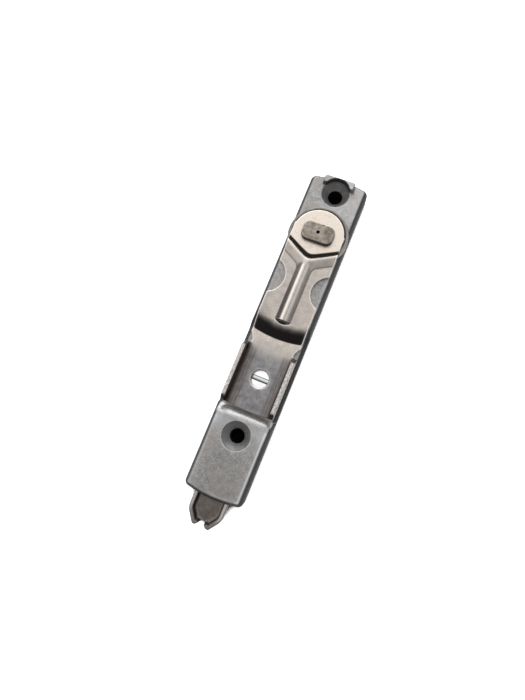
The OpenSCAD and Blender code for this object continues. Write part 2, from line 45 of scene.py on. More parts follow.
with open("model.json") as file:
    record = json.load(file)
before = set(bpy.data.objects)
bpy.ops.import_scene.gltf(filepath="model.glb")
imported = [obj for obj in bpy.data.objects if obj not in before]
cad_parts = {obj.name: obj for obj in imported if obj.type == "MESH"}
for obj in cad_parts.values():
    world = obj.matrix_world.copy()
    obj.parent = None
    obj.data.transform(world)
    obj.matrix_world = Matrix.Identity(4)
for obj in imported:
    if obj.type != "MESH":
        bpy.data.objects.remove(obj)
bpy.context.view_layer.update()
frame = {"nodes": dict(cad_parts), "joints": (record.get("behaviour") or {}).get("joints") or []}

MM = 0.001
# How far a dressed surface stays inside the CAD surface that it replaces; all sizes below are in millimetres
TINY = 0.03


def node_box(name):
    low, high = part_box(name)
    return np.array(low) / MM, np.array(high) / MM


# Sizes that come from the frame
HOUSING_LOW, HOUSING_HIGH = node_box("housing")
LEVER_LOW, LEVER_HIGH = node_box("lever")
SPINDLE_HIGH = node_box("spindle")[1]
BOLT_LOW, BOLT_HIGH = node_box("bolt")
SCREW_LOW, SCREW_HIGH = node_box("cover_screw")
PIVOT_Y = frame["joints"][0]["pos_m"][1] / MM
SCREW_Y = (SCREW_LOW[1] + SCREW_HIGH[1]) / 2

# Sizes that more than one piece shares
HOLE_Y = 48.0
TRAVEL = 11.29
FLANGE_T = 1.5
GRIP_HALF = LEVER_HIGH[0]
WALL_X = GRIP_HALF - FLANGE_T


# Sizes and colours that a user may change
class SheetSizes(bpy.types.PropertyGroup):
    thickness: FloatProperty(name="Sheet", description="Thickness of the lever's sheet",
                             default=1.5 * MM, unit="LENGTH")
    rim: FloatProperty(name="Rim", description="Radius of the lever's rolled edges",
                       default=0.28 * MM, unit="LENGTH")
    arm_height: FloatProperty(name="Arms", description="Height of the bead's two arms",
                              default=1.25 * MM, unit="LENGTH")
    stem_height: FloatProperty(name="Stem", description="Height of the bead's stem",
                               default=1.3 * MM, unit="LENGTH")
    bend: FloatProperty(name="Bend", description="Inner radius of the bends beside the grip",
                        default=1.7 * MM, unit="LENGTH")


class CastingSizes(bpy.types.PropertyGroup):
    lip: FloatProperty(name="Lips", description="Rounding of the lips of countersinks and recesses",
                       default=0.3 * MM, unit="LENGTH")
    lug_rim: FloatProperty(name="Lug", description="Rounding of the lug's upper edges",
                           default=0.4 * MM, unit="LENGTH")


class FinishColours(bpy.types.PropertyGroup):
    casting: FloatVectorProperty(name="Casting", description="Colour of the tumbled casting",
                                 subtype="COLOR", size=3, default=(0.352, 0.343, 0.330))
    lever: FloatVectorProperty(name="Lever", description="Colour of the lever's steel",
                               subtype="COLOR", size=3, default=(0.59, 0.534, 0.474))
    spindle: FloatVectorProperty(name="Spindle", description="Colour of the spindle's steel",
                                 subtype="COLOR", size=3, default=(0.285, 0.243, 0.203))
    bolt: FloatVectorProperty(name="Bolt", description="Colour of the bolt's steel",
                              subtype="COLOR", size=3, default=(0.166, 0.143, 0.129))
    plating: FloatVectorProperty(name="Plating", description="Colour of the plated pieces",
                                 subtype="COLOR", size=3, default=(0.93, 0.935, 0.94))
    floor: FloatVectorProperty(name="Floor", description="Colour of the floor",
                               subtype="COLOR", size=3, default=(0.90, 0.90, 0.90))


# Curves and height fields
def smooth_max(a, b, k):
    h = np.clip(0.5 + 0.5 * (a - b) / k, 0, 1)
    return b + (a - b) * h + k * h * (1 - h)


def smooth_min(a, b, k):
    return -smooth_max(-a, -b, k)


def ease(t):
    t = np.clip(t, 0, 1)
    return t * t * (3 - 2 * t)


def hump(value, centre, width):
    """Bell curve: 1 at the centre, about a third at a width from it."""
    return np.exp(-((value - centre) / width) ** 2)


def round_off(depth, r):
    """How far an edge of radius r drops, at a depth inwards from it."""
    k = np.clip(1 - depth / r, 0, 1)
    return r * (1 - np.sqrt(1 - k * k))


def bent(run, r):
    """How far a bend of radius r has risen, at a run along it."""
    run = np.clip(run, 0, r - 1e-3)
    return r - np.sqrt(r * r - run * run)


def rim_steps(r, *angles):
    """Depths inwards at which an edge of radius r has turned by the angles, in degrees."""
    return [r * (1 - math.cos(math.radians(a))) for a in angles]


def from_pivot(x, y):
    return np.hypot(x, y - PIVOT_Y)


def largest(*masks):
    return np.maximum.reduce(masks)


def arc(cx, cy, r, start, end, step=0.5):
    """Points on an arc from one angle to another, in degrees."""
    count = max(3, int(abs(math.radians(end - start)) * r / step) + 2)
    a = np.radians(np.linspace(start, end, count))
    return [(cx + r * math.cos(t), cy + r * math.sin(t)) for t in a]


def circle(cx, cy, r, step=0.5):
    return arc(cx, cy, r, 0, 360, step)[:-1]


def densify(loop, step, closed=True):
    """The same outline with no stretch longer than step."""
    pts = [np.array(p, float) for p in loop]
    ends = pts[1:] + (pts[:1] if closed else [])
    out = []
    for a, b in zip(pts, ends):
        count = max(1, int(np.linalg.norm(b - a) / step + 0.999))
        out += [tuple(a + (b - a) * i / count) for i in range(count)]
    if not closed:
        out.append(tuple(pts[-1]))
    return out


def mirrored(right):
    """A closed outline from its right half, listed from top to bottom."""
    return right + [(-x, y) for x, y in reversed(right) if abs(x) > 1e-6]


def rings(loops):
    """Closed lines for triangulate."""
    return [(loop, True) for loop in loops]


def straight(start, end, step):
    """An open line for triangulate."""
    return densify([start, end], step, False), False


def inset(loop, d):
    """The loop moved inwards by d, or outwards where d is negative."""
    p = np.array(loop)
    q = np.roll(p, -1, 0)
    turn = 1.0 if (p[:, 0] * q[:, 1] - q[:, 0] * p[:, 1]).sum() > 0 else -1.0
    fore = q - p
    fore /= np.linalg.norm(fore, axis=1)[:, None] + 1e-12
    back = np.roll(fore, 1, 0)
    normal = turn * np.stack([-(fore[:, 1] + back[:, 1]), fore[:, 0] + back[:, 0]], 1)
    size = np.linalg.norm(normal, axis=1)[:, None] + 1e-9
    normal /= size
    stretch = np.minimum(2 / size[:, 0], 2.0)
    return [tuple(v) for v in p + normal * d * stretch[:, None]]


def inside(loop, xy):
    """Which of the points lie inside the loop."""
    p = np.array(loop)
    hit = np.zeros(len(xy), bool)
    x, y = xy.T
    for (ax, ay), (bx, by) in zip(p, np.roll(p, -1, 0)):
        if ay != by:
            crosses = (ay > y) != (by > y)
            hit ^= crosses & (x < (bx - ax) * (y - ay) / (by - ay) + ax)
    return hit


def distance(path, xy, closed=True):
    """Distance of each point from a path."""
    p = np.array(path)
    q = np.roll(p, -1, 0) if closed else p[1:]
    best = np.full(len(xy), 1e9)
    for a, b in zip(p, q):
        ab = b - a
        t = np.clip(((xy - a) @ ab) / (ab @ ab + 1e-12), 0, 1)
        best = np.minimum(best, np.linalg.norm(xy - a - t[:, None] * ab, axis=1))
    return best


def depth_in(loop, xy):
    """Distance from the loop, negative outside it."""
    return np.where(inside(loop, xy), 1, -1) * distance(loop, xy)


def grid(x0, x1, y0, y1, step):
    """Staggered points that fill a rectangle."""
    points = []
    rows = int((y1 - y0) / step) + 1
    for j in range(rows + 1):
        y = y0 + (y1 - y0) * j / rows
        points += [(x, y) for x in np.arange(x0 + 0.5 * step * (j % 2), x1, step)]
    return points


def triangulate(outline, holes, lines, points, keep_off):
    """Triangles that fill the outline round its holes, with every line as an edge."""
    verts, edges = [], []
    for path, closed in rings([outline] + holes) + lines:
        start = len(verts)
        verts += list(path)
        edges += [(start + i, start + i + 1) for i in range(len(path) - 1)]
        if closed:
            edges.append((len(verts) - 1, start))
    fixed = np.array(verts)
    free = np.array(points)
    near = np.zeros(len(free), bool)
    batch = 400
    for a in range(0, len(free), batch):
        gap = np.linalg.norm(free[a:a + batch, None] - fixed[None], axis=2).min(1)
        near[a:a + batch] = gap < keep_off
    verts += [tuple(p) for p in free[~near & inside(outline, free)]]
    out = delaunay_2d_cdt([Vector(v) for v in verts], edges, [], 0, 1e-6, False)
    xy = np.array([tuple(v) for v in out[0]])
    tri = np.array([f for f in out[2] if len(f) == 3])
    centre = xy[tri].mean(1)
    keep = inside(outline, centre)
    for hole in holes:
        keep &= ~inside(hole, centre)
    tri = tri[keep]
    a, b, c = xy[tri[:, 0]], xy[tri[:, 1]], xy[tri[:, 2]]
    size = (b[:, 0] - a[:, 0]) * (c[:, 1] - a[:, 1]) - (c[:, 0] - a[:, 0]) * (b[:, 1] - a[:, 1])
    tri[size < 0] = tri[size < 0][:, ::-1]
    used = np.unique(tri)
    order = np.full(len(xy), -1)
    order[used] = np.arange(len(used))
    return xy[used], order[tri]


# Pieces and their meshes
def new_piece(name, mesh):
    piece = bpy.data.objects.new(name, mesh)
    bpy.context.scene.collection.objects.link(piece)
    return piece


def solid_piece(name, xy, tri, top, bottom):
    """A closed piece between two heights over the triangles."""
    n = len(xy)
    verts = np.concatenate([np.column_stack([xy, top]), np.column_stack([xy, np.full(n, bottom)])])
    tri = [tuple(int(i) for i in f) for f in tri]
    edges = dict.fromkeys((f[i], f[(i + 1) % 3]) for f in tri for i in range(3))
    faces = tri + [tuple(i + n for i in reversed(f)) for f in tri]
    faces += [(b, a, a + n, b + n) for a, b in edges if (b, a) not in edges]
    mesh = bpy.data.meshes.new(name)
    mesh.from_pydata((verts * MM).tolist(), [], faces)
    mesh.validate()
    return new_piece(name, mesh)


def add_masks(piece, **masks):
    """Writes masks on the mesh's points; the points past a mask's end get 0."""
    for name, values in masks.items():
        full = np.zeros(len(piece.data.vertices), np.float32)
        full[:len(values)] = np.clip(values, 0, 1)
        piece.data.attributes.new(name, "FLOAT", "POINT").data.foreach_set("value", full)


def points_of(piece):
    """The mesh's points as rows of x, y and z, in millimetres."""
    co = np.zeros(len(piece.data.vertices) * 3)
    piece.data.vertices.foreach_get("co", co)
    return co.reshape(-1, 3).T / MM


def finish_piece(piece, mat, sharp_from):
    """Gives a piece its material and smooth shading up to an angle in degrees."""
    piece.data.materials.clear()
    piece.data.materials.append(mat)
    piece.data.shade_smooth()
    piece.data.set_sharp_from_angle(angle=math.radians(sharp_from))


def add_modifier(piece, kind, **settings):
    modifier = piece.modifiers.new(kind.lower(), kind)
    for name, value in settings.items():
        setattr(modifier, name, value)
    return modifier


def bake_modifiers(piece):
    """Turns what the modifiers give into the piece's own mesh."""
    bpy.context.view_layer.update()
    graph = bpy.context.evaluated_depsgraph_get()
    mesh = bpy.data.meshes.new_from_object(piece.evaluated_get(graph))
    piece.modifiers.clear()
    piece.data = mesh
    return piece


def boolean(piece, other, operation):
    add_modifier(piece, "BOOLEAN", operation=operation, object=other, solver="EXACT")
    bake_modifiers(piece)
    bpy.data.objects.remove(other)


def node_copy(name):
    """A merged copy of a CAD node's mesh, to be worked on."""
    piece = new_piece("copy_" + name, frame["nodes"][name].data.copy())
    add_modifier(piece, "WELD", merge_threshold=1e-6)
    return bake_modifiers(piece)


# Nodes
class Nodes:
    """Short calls that add nodes to one tree and give back the sockets to go on with."""

    def __init__(self, tree, where=None):
        self.tree = tree
        self.where = where

    def feed(self, socket, value):
        """Links a socket to another one, or writes a value into it."""
        if isinstance(value, bpy.types.NodeSocket):
            self.tree.links.new(value, socket)
        elif socket.type == "RGBA":
            socket.default_value = (*tuple(value)[:3], 1)
        else:
            socket.default_value = value

    def add(self, kind, inputs=None, **settings):
        """The outputs of a new node, with its settings made and its inputs fed."""
        node = self.tree.nodes.new(kind)
        for name, value in settings.items():
            setattr(node, name, value)
        for key, value in (inputs or {}).items():
            self.feed(node.inputs[key], value)
        return node.outputs

    def math(self, operation, a, b=0.0, clamp=False):
        return self.add("ShaderNodeMath", {0: a, 1: b}, operation=operation, use_clamp=clamp)[0]

    def times(self, a, b):
        return self.math("MULTIPLY", a, b)

    def vector_math(self, operation, *values):
        return self.add("ShaderNodeVectorMath", dict(enumerate(values)), operation=operation)

    def split(self, vector):
        return self.add("ShaderNodeSeparateXYZ", {0: vector})

    def noise(self, scale, detail=4.0, rough=0.55):
        inputs = {"Vector": self.where, "Scale": scale, "Detail": detail, "Roughness": rough}
        return self.add("ShaderNodeTexNoise", inputs)["Fac"]

    def remap(self, value, low, high, to_low=0.0, to_high=1.0, **settings):
        inputs = {0: value, 1: low, 2: high, 3: to_low, 4: to_high}
        return self.add("ShaderNodeMapRange", inputs, **settings)[0]

    def ramp(self, value, stops):
        """Grey levels laid along a value from 0 to 1."""
        node = self.tree.nodes.new("ShaderNodeValToRGB")
        marks = node.color_ramp.elements
        while len(marks) < len(stops):
            marks.new(0.5)
        for mark, (place, grey) in zip(marks, stops):
            mark.position = place
            mark.color = (grey, grey, grey, 1)
        self.feed(node.inputs[0], value)
        return node.outputs[0]

    def mix(self, mask, first, second, mode="MIX"):
        """Two colours mixed by a mask."""
        inputs = {0: mask, 6: first, 7: second}
        return self.add("ShaderNodeMix", inputs, data_type="RGBA", blend_type=mode)[2]

    def mask(self, name):
        return self.add("ShaderNodeAttribute", attribute_name=name)["Fac"]

    def group(self, name, **values):
        """The outputs of a shared group; an underscore stands for the space in an input's name."""
        tree = bpy.data.node_groups.get(name) or SHARED_GROUPS[name]()
        inputs = {key.replace("_", " "): value for key, value in values.items()}
        return self.add("ShaderNodeGroup", {"Vector": self.where, **inputs}, node_tree=tree)

    def surface(self, tone, rough, height, depth, strength):
        """Feeds the shader its colour and roughness, and a bump of a depth in millimetres."""
        inputs = {"Height": height, "Distance": depth * MM, "Strength": strength}
        normal = self.add("ShaderNodeBump", inputs)["Normal"]
        shader = self.tree.nodes["Principled BSDF"].inputs
        for name, value in (("Base Color", tone), ("Roughness", rough), ("Normal", normal)):
            self.feed(shader[name], value)


def new_group(name, values, results):
    """Nodes, inputs and results of a new shader group that reads a vector and named values."""
    tree = bpy.data.node_groups.new(name, "ShaderNodeTree")
    tree.interface.new_socket("Vector", in_out="INPUT", socket_type="NodeSocketVector")
    for label, default in values.items():
        socket = tree.interface.new_socket(label, in_out="INPUT", socket_type="NodeSocketFloat")
        socket.default_value = default
    for label in results:
        tree.interface.new_socket(label, in_out="OUTPUT", socket_type="NodeSocketFloat")
    given = tree.nodes.new("NodeGroupInput").outputs
    return Nodes(tree, given["Vector"]), given, tree.nodes.new("NodeGroupOutput").inputs


def grain_group():
    """Fine pits and soft mottling, such as tumbled or cast metal has."""
    values = {"Grain Scale": 3000.0, "Mottle Scale": 400.0}
    n, given, results = new_group("metal_grain", values, ("Grain", "Mottle", "Pits"))
    n.feed(results["Grain"], n.noise(given["Grain Scale"], 3.0, 0.5))
    n.feed(results["Mottle"], n.remap(n.noise(given["Mottle Scale"], 5.0, 0.6), 0.3, 0.7))
    pits_scale = n.times(given["Mottle Scale"], 2.3)
    pits = n.add("ShaderNodeTexVoronoi", {"Vector": n.where, "Scale": pits_scale})
    small = n.remap(pits["Distance"], 0.06, 0.2, 1.0, 0.0)
    chosen = n.remap(n.add("ShaderNodeSeparateColor", {0: pits["Color"]})[0], 0.55, 0.95)
    n.feed(results["Pits"], n.times(small, chosen))
    return n.tree


def streak_group():
    """Lengthwise drawing marks."""
    n, given, results = new_group("drawing_streaks", {"Scale": 1500.0, "Stretch": 0.06}, ("Streaks",))
    x, y, z = n.split(n.where)
    n.where = n.add("ShaderNodeCombineXYZ", {0: x, 1: n.times(y, given["Stretch"]), 2: z})[0]
    n.feed(results["Streaks"], n.noise(given["Scale"], 4.0, 0.5))
    return n.tree


def edge_group():
    """White on convex edges, found with a rounded normal."""
    n, _, results = new_group("worn_edges", {}, ("Wear",))
    rounded = n.add("ShaderNodeBevel", {"Radius": 0.25 * MM}, samples=6)[0]
    normal = n.add("ShaderNodeNewGeometry")["Normal"]
    edge = n.remap(n.vector_math("DOT_PRODUCT", rounded, normal)["Value"], 0.999, 0.93)
    broken = n.remap(n.noise(900.0), 0.35, 0.65, 0.5, 1.0)
    n.feed(results["Wear"], n.math("MULTIPLY", edge, broken, True))
    return n.tree


SHARED_GROUPS = {"metal_grain": grain_group, "drawing_streaks": streak_group, "worn_edges": edge_group}


# Materials
# Painted shade: the casting's dark sides stand in for dark reflections, and its cone tops and lug outline
# for shadow
CAST_SHADE_TONE = (0.036, 0.039, 0.041)
# Painted shade: black in the bores and under the lever's mouth
HOLE_SHADE_BLACK = (0.003, 0.003, 0.003)
# Painted sheen: bluish reflection of the sky
SHEEN_ZINC = (0.56, 0.57, 0.585)
# Wear and painted highlights on the casting's lips, edges, lug and ramp
ZINC_WEAR_AND_HIGHLIGHT = (0.80, 0.80, 0.80)
# Wear and painted highlights on the lever's rims and bead
STEEL_WEAR_AND_HIGHLIGHT = (0.97, 0.91, 0.84)
HEAD_PLATE, HEAD_SMUDGE = (0.77, 0.68, 0.585), (0.50, 0.43, 0.365)
GRIP_DARK, GRIP_LIGHT = (0.165, 0.160, 0.164), (0.345, 0.335, 0.335)
FLAKE_DARK, FLAKE_LIGHT = (0.28, 0.25, 0.23), (0.72, 0.69, 0.66)
# Painted shade over the grip's bends
BEND_SHADE_TONE = (0.120, 0.088, 0.070)
# Painted shade on the lever's step, flange ends and mouth lip
STEP_SHADE_TONE = (0.034, 0.027, 0.028)
# Painted shade on the lever's valley, bead foot and stem flanks
LEVER_SHADE_TONE = (0.045, 0.040, 0.036)
PIT_TONE = (0.16, 0.14, 0.12)
# Painted shade on the spindle, the disc and the bolt
STEEL_SHADE_BLACK = (0.02, 0.018, 0.016)
EDGE_STEEL = (0.6, 0.57, 0.54)

# Darkness of the lengthwise bands beside each bend, from the wall inwards: painted shade over the bend, then
# thinner dark lines further in
BANDS_WIDE = 4
BEND_SHADE_BANDS = ((0.0, 1.0), (0.12, 0.95), (0.30, 0.75), (0.42, 0.50), (0.47, 0.45), (0.50, 0.95),
               (0.53, 0.95), (0.55, 0.30), (0.65, 0.25), (0.69, 0.60), (0.77, 0.50), (0.80, 0.15),
               (0.83, 0.75), (0.86, 0.75), (0.89, 0.08), (1.0, 0.0))

# Painted shade across the screwdriver slot, in greys from its lower wall to its upper one
SLOT_HALF = 0.9
SLOT_SHADE_GREYS = ((0.0, 0.01), (0.16, 0.03), (0.36, 0.30), (0.6, 0.68), (0.84, 0.72), (0.9, 0.08), (1.0, 0.02))


def tinted(tone, *factors):
    """The colour with its channels multiplied, by one factor or by one each."""
    return tuple(min(1, c * f) for c, f in zip(tone, factors * 3))


def start_material(name, metallic, roughness):
    """A new material, its nodes and its shader's inputs."""
    mat = bpy.data.materials.new(name)
    mat.use_nodes = True
    n = Nodes(mat.node_tree)
    n.where = n.add("ShaderNodeTexCoord")["Object"]
    shader = mat.node_tree.nodes["Principled BSDF"].inputs
    shader["Metallic"].default_value = metallic
    shader["Roughness"].default_value = roughness
    return mat, n, shader


def cast_zinc(base):
    """Tumbled die-casting: mottled grey faces, painted shade on the sides and in the bores, a painted sheen,
    and wear with painted highlights on the lips, edges and ramp.
    """
    mat, n, shader = start_material("cast_zinc", 0.85, 0.5)
    grain = n.group("metal_grain", Grain_Scale=2600.0, Mottle_Scale=560.0)
    tone = n.mix(grain["Mottle"], tinted(base, 0.76), tinted(base, 1.18))
    fine = n.remap(grain["Grain"], 0.32, 0.68, 0.58, 1.42)
    tone = n.mix(0.8, tone, n.mix(1.0, tone, fine, "MULTIPLY"))
    patches = n.remap(n.noise(160.0), 0.45, 0.62, 0.0, 0.5)
    tone = n.mix(patches, tone, tinted(base, 1.04, 0.96, 0.89))
    # Painted sheen near the ramp and in the cones
    tone = n.mix(n.times(n.mask("polish"), 0.6), tone, SHEEN_ZINC)
    tone = n.mix(n.times(grain["Pits"], 0.6), tone, tinted(base, 0.35))
    not_back = n.remap(n.split(n.add("ShaderNodeNewGeometry")["True Normal"])[2], -0.9, -0.7)
    # Sides, cone tops, lug outline and lower face painted dark as shade
    side = n.times(n.mask("as_cast"), not_back)
    tone = n.mix(n.times(side, 0.92), tone, CAST_SHADE_TONE)
    # Bore walls and the patch under the lever's mouth painted black as shade
    bore = n.times(n.mask("bore"), not_back)
    tone = n.mix(bore, tone, HOLE_SHADE_BLACK)
    # Wear together with painted highlights
    worn = n.mask("worn")
    tone = n.mix(n.times(worn, 0.65), tone, ZINC_WEAR_AND_HIGHLIGHT)
    # Where shade is painted, the metal loses its shine too
    shaded_parts = n.math("MAXIMUM", n.times(side, 0.75), bore)
    n.feed(shader["Metallic"], n.remap(shaded_parts, 0.0, 1.0, 0.85, 0.0))
    shader["Specular IOR Level"].default_value = 0.2
    rough = n.remap(grain["Grain"], 0.3, 0.7, 0.38, 0.52)
    rough = n.math("SUBTRACT", rough, n.times(worn, 0.12))
    rough = n.math("ADD", rough, n.times(shaded_parts, 0.3))
    height = n.math("SUBTRACT", grain["Grain"], n.times(grain["Pits"], 1.5))
    n.surface(tone, rough, height, 0.03, 0.6)
    return mat


def rolled_steel(base):
    """The lever's sheet: pale tumbled blade, duller streaked grip, its step painted dark as shade, and
    painted shade and highlights along the bead, rims and bends.
    """
    mat, n, _ = start_material("rolled_steel", 0.9, 0.34)
    grain = n.group("metal_grain", Grain_Scale=2400.0, Mottle_Scale=420.0)
    tone = n.mix(grain["Mottle"], tinted(base, 0.86), tinted(base, 1.12))
    stains = n.remap(n.noise(240.0, 5.0, 0.6), 0.5, 0.68, 0.0, 0.45)
    tone = n.mix(stains, tone, tinted(base, 0.66, 0.62, 0.60))
    smudge = n.remap(n.noise(520.0, 5.0, 0.65), 0.56, 0.74, 0.0, 0.55)
    tone = n.mix(n.mask("head"), tone, n.mix(smudge, HEAD_PLATE, HEAD_SMUDGE))
    tone = n.mix(1.0, tone, n.remap(grain["Grain"], 0.3, 0.7, 0.84, 1.14), "MULTIPLY")
    grip = n.mask("grip")
    lines = n.remap(n.group("drawing_streaks", Scale=1500.0, Stretch=0.12)["Streaks"], 0.38, 0.62)
    clouds = n.remap(n.noise(480.0, 8.0, 0.72), 0.34, 0.66)
    clouds = n.math("ADD", n.times(clouds, 0.82), n.times(lines, 0.18))
    tone = n.mix(grip, tone, n.mix(clouds, GRIP_DARK, GRIP_LIGHT))
    off_middle = n.math("ABSOLUTE", n.split(n.where)[0])
    inward = n.math("SUBTRACT", WALL_X * MM, off_middle)
    # Painted shade over each bend, with thinner dark lines beside it
    bands = n.times(n.ramp(n.remap(inward, 0.0, BANDS_WIDE * MM), BEND_SHADE_BANDS), n.mask("bends"))
    tone = n.mix(n.times(bands, 0.8), tone, BEND_SHADE_TONE)
    # The step painted dark as shade, uneven along its middle
    step = n.mask("step")
    mid_step = n.times(step, n.math("SUBTRACT", 1.0, step))
    shade_noise = n.times(n.math("SUBTRACT", n.noise(330.0), 0.5), 0.9)
    shade_noise = n.times(shade_noise, n.times(mid_step, 4.0))
    tone = n.mix(n.math("ADD", step, shade_noise, True), tone, STEP_SHADE_TONE)
    # Painted shade along the bead
    tone = n.mix(n.times(n.mask("grime"), 0.92), tone, LEVER_SHADE_TONE)
    tone = n.mix(n.times(grain["Pits"], 0.6), tone, PIT_TONE)
    # Wear on the rims, and painted highlights on the rims and bead
    tone = n.mix(n.mask("worn"), tone, STEEL_WEAR_AND_HIGHLIGHT)
    flakes = n.remap(n.group("drawing_streaks", Scale=4600.0, Stretch=0.3)["Streaks"], 0.34, 0.62)
    tone = n.mix(n.mask("flange"), tone, n.mix(flakes, FLAKE_DARK, FLAKE_LIGHT))
    rough = n.remap(grain["Grain"], 0.3, 0.7, 0.30, 0.42)
    rough = n.math("ADD", rough, n.times(grip, 0.10))
    height = n.math("ADD", grain["Grain"], n.times(n.times(lines, grip), 0.8))
    n.surface(tone, rough, height, 0.02, 0.5)
    return mat


def dull_steel(name, base, rough, mottle=420.0, edge=EDGE_STEEL, depth=0.3, shade_r=None):
    """Oiled metal with rubbed bright edges and painted highlights, painted shade where its mask says, and
    painted shade inside a radius round the pivot if one is given.
    """
    mat, n, _ = start_material(name, 0.9, rough[0])
    grain = n.group("metal_grain", Grain_Scale=2200.0, Mottle_Scale=mottle)
    tone = n.mix(grain["Mottle"], tinted(base, 1 - depth), tinted(base, 1 + depth))
    tone = n.mix(n.times(grain["Pits"], 0.6), tone, tinted(base, 0.4))
    worn = n.math("MAXIMUM", n.group("worn_edges")["Wear"], n.mask("worn"))
    tone = n.mix(n.times(worn, 0.85), tone, edge)
    # Painted shade on the disc, next to the head that stands over it
    if shade_r:
        flat = n.vector_math("MULTIPLY_ADD", n.where, (1, 1, 0), (0, -(PIVOT_Y + 0.4) * MM, 0))[0]
        reach = n.vector_math("LENGTH", flat)["Value"]
        tone = n.mix(n.remap(reach, (shade_r - 0.35) * MM, shade_r * MM, 0.92, 0.0), tone, STEEL_SHADE_BLACK)
    # Painted shade from the mask
    tone = n.mix(n.mask("grime"), tone, STEEL_SHADE_BLACK)
    n.surface(tone, n.remap(grain["Grain"], 0.3, 0.7, *rough), grain["Grain"], 0.02, 0.5)
    return mat


def shaded_slot(n, tone):
    """The tone with painted shade across the screwdriver slot, darkest along its walls."""
    _, y, z = n.split(n.where)
    across = n.remap(y, (SCREW_Y - SLOT_HALF) * MM, (SCREW_Y + SLOT_HALF) * MM)
    top = SCREW_HIGH[2]
    below_face = n.remap(z, (top - 0.25) * MM, (top - 0.05) * MM, 1.0, 0.0)
    above_shank = n.remap(z, (top - 1.0) * MM, (top - 0.95) * MM)
    return n.mix(n.times(below_face, above_shank), tone, n.ramp(across, SLOT_SHADE_GREYS))


def plated(name, base, rough, slotted=False):
    """Bright plating with faint clouds and hairline marks."""
    mat, n, _ = start_material(name, 1.0, rough)
    grain = n.group("metal_grain", Grain_Scale=1800.0, Mottle_Scale=260.0)
    tone = n.mix(grain["Mottle"], tinted(base, 0.88), base)
    if slotted:
        # Painted shade in the screwdriver slot
        tone = shaded_slot(n, tone)
    streaks = n.group("drawing_streaks", Scale=2600.0, Stretch=0.4)["Streaks"]
    n.surface(tone, n.remap(streaks, 0.3, 0.7, rough * 0.8, rough * 1.3), streaks, 0.008, 0.4)
    return mat


def dress_node(name, mat, bevel):
    """Gives a CAD node its finish, with its sharp edges broken by a small bevel."""
    piece = frame["nodes"][name]
    piece.data.materials.clear()
    piece.data.materials.append(mat)
    add_modifier(piece, "WELD", merge_threshold=1e-6)
    if bevel:
        add_modifier(piece, "BEVEL", width=bevel * MM, segments=2, limit_method="ANGLE",
                     angle_limit=math.radians(40), use_clamp_overlap=True)


# The casting
FACE_Z = HOUSING_HIGH[2] - 2.3
FACE_HALF = 9.6
SIDE_HALF = HOUSING_HIGH[0]
EDGE_WIDE = SIDE_HALF - FACE_HALF
EDGE_DROP = 2.5
EDGE_POWER = 1.55
END_R = 48.0
CORNER_R = 2.0
LOW_FLOOR_Z = 4.8
STEP_R0, STEP_R1 = 33.9, 39.7
RAMP_Y = -39.0
# The ramp's arched upper line: flat middle, round ends; then its gentle and its steep part
ARCH_DOWN, ARCH_FLAT_HALF, ARCH_ROUND, ARCH_SAG, ARCH_POWER = 3.5, 5.0, 4.6, 3.5, 2.4
GENTLE_SHARE, STEEP_SHARE, STEEP_RUN = 0.2, 0.80, 2.3
SINK_R, SINK_BORE_R, SINK_DEEP = 5.25, 2.65, 3.2
SINK_RINGS = (SINK_BORE_R, SINK_BORE_R + TINY, SINK_BORE_R + 0.12,
              3.6, 4.6, 4.9, 5.1, SINK_R, 5.4, 5.6, 5.9)
RECESS_Z = 6.8
RECESS_R = SIDE_HALF + 0.05
RECESS_LIP_WIDE, RECESS_LIP_DROP = 0.25, 0.2
# Low ends of the blank and of its bores, below the back that the CAD housing cuts
BLANK_LOW_Z, BORE_LOW_Z = -1.0, -2.0
LUG_HALF, LUG_TOP = 5.8, HOUSING_HIGH[2]
LUG_Y0, LUG_Y1 = HOUSING_HIGH[1] - 4.3, HOUSING_HIGH[1] - 1.25
LUG_BORE_R = 4.8
CHAMFER = 0.95
# Half sizes and middle of the patch of painted shade on the low floor, under the lever's mouth
PATCH, PATCH_Y = (2.9, 0.8), PIVOT_Y - 34.75


def casting_outline():
    """Seen from the front: straight sides, two convex ends and round corners."""
    corner_x = SIDE_HALF - TINY - CORNER_R
    rise = math.sqrt((END_R - CORNER_R) ** 2 - corner_x ** 2)
    tilt = math.degrees(math.asin(corner_x / (END_R - CORNER_R)))
    top_centre = HOUSING_HIGH[1] - TINY - END_R
    foot_centre = HOUSING_LOW[1] + TINY + END_R
    right = arc(0, top_centre, END_R, 90, 90 - tilt, 0.6)
    right += arc(corner_x, top_centre + rise, CORNER_R, 90 - tilt, 0, 0.2)[1:]
    right += arc(corner_x, foot_centre - rise, CORNER_R, 0, tilt - 90, 0.2)
    right += arc(0, foot_centre, END_R, tilt - 90, -90, 0.6)[1:]
    return densify(mirrored(right), 0.6)


def edge_profile(d):
    """Height of the rounded edge at distance d from the outline."""
    q = np.clip(1 - d / EDGE_WIDE, 0, 1)
    return FACE_Z - EDGE_DROP * (1 - (1 - q ** EDGE_POWER) ** (1 / EDGE_POWER))


def ramp_arch(x):
    """Where the lower face ends: nearly straight, with round corners."""
    side = np.clip((np.abs(x) - ARCH_FLAT_HALF) / ARCH_ROUND, 0, 1)
    return RAMP_Y - ARCH_DOWN - ARCH_SAG * side ** ARCH_POWER


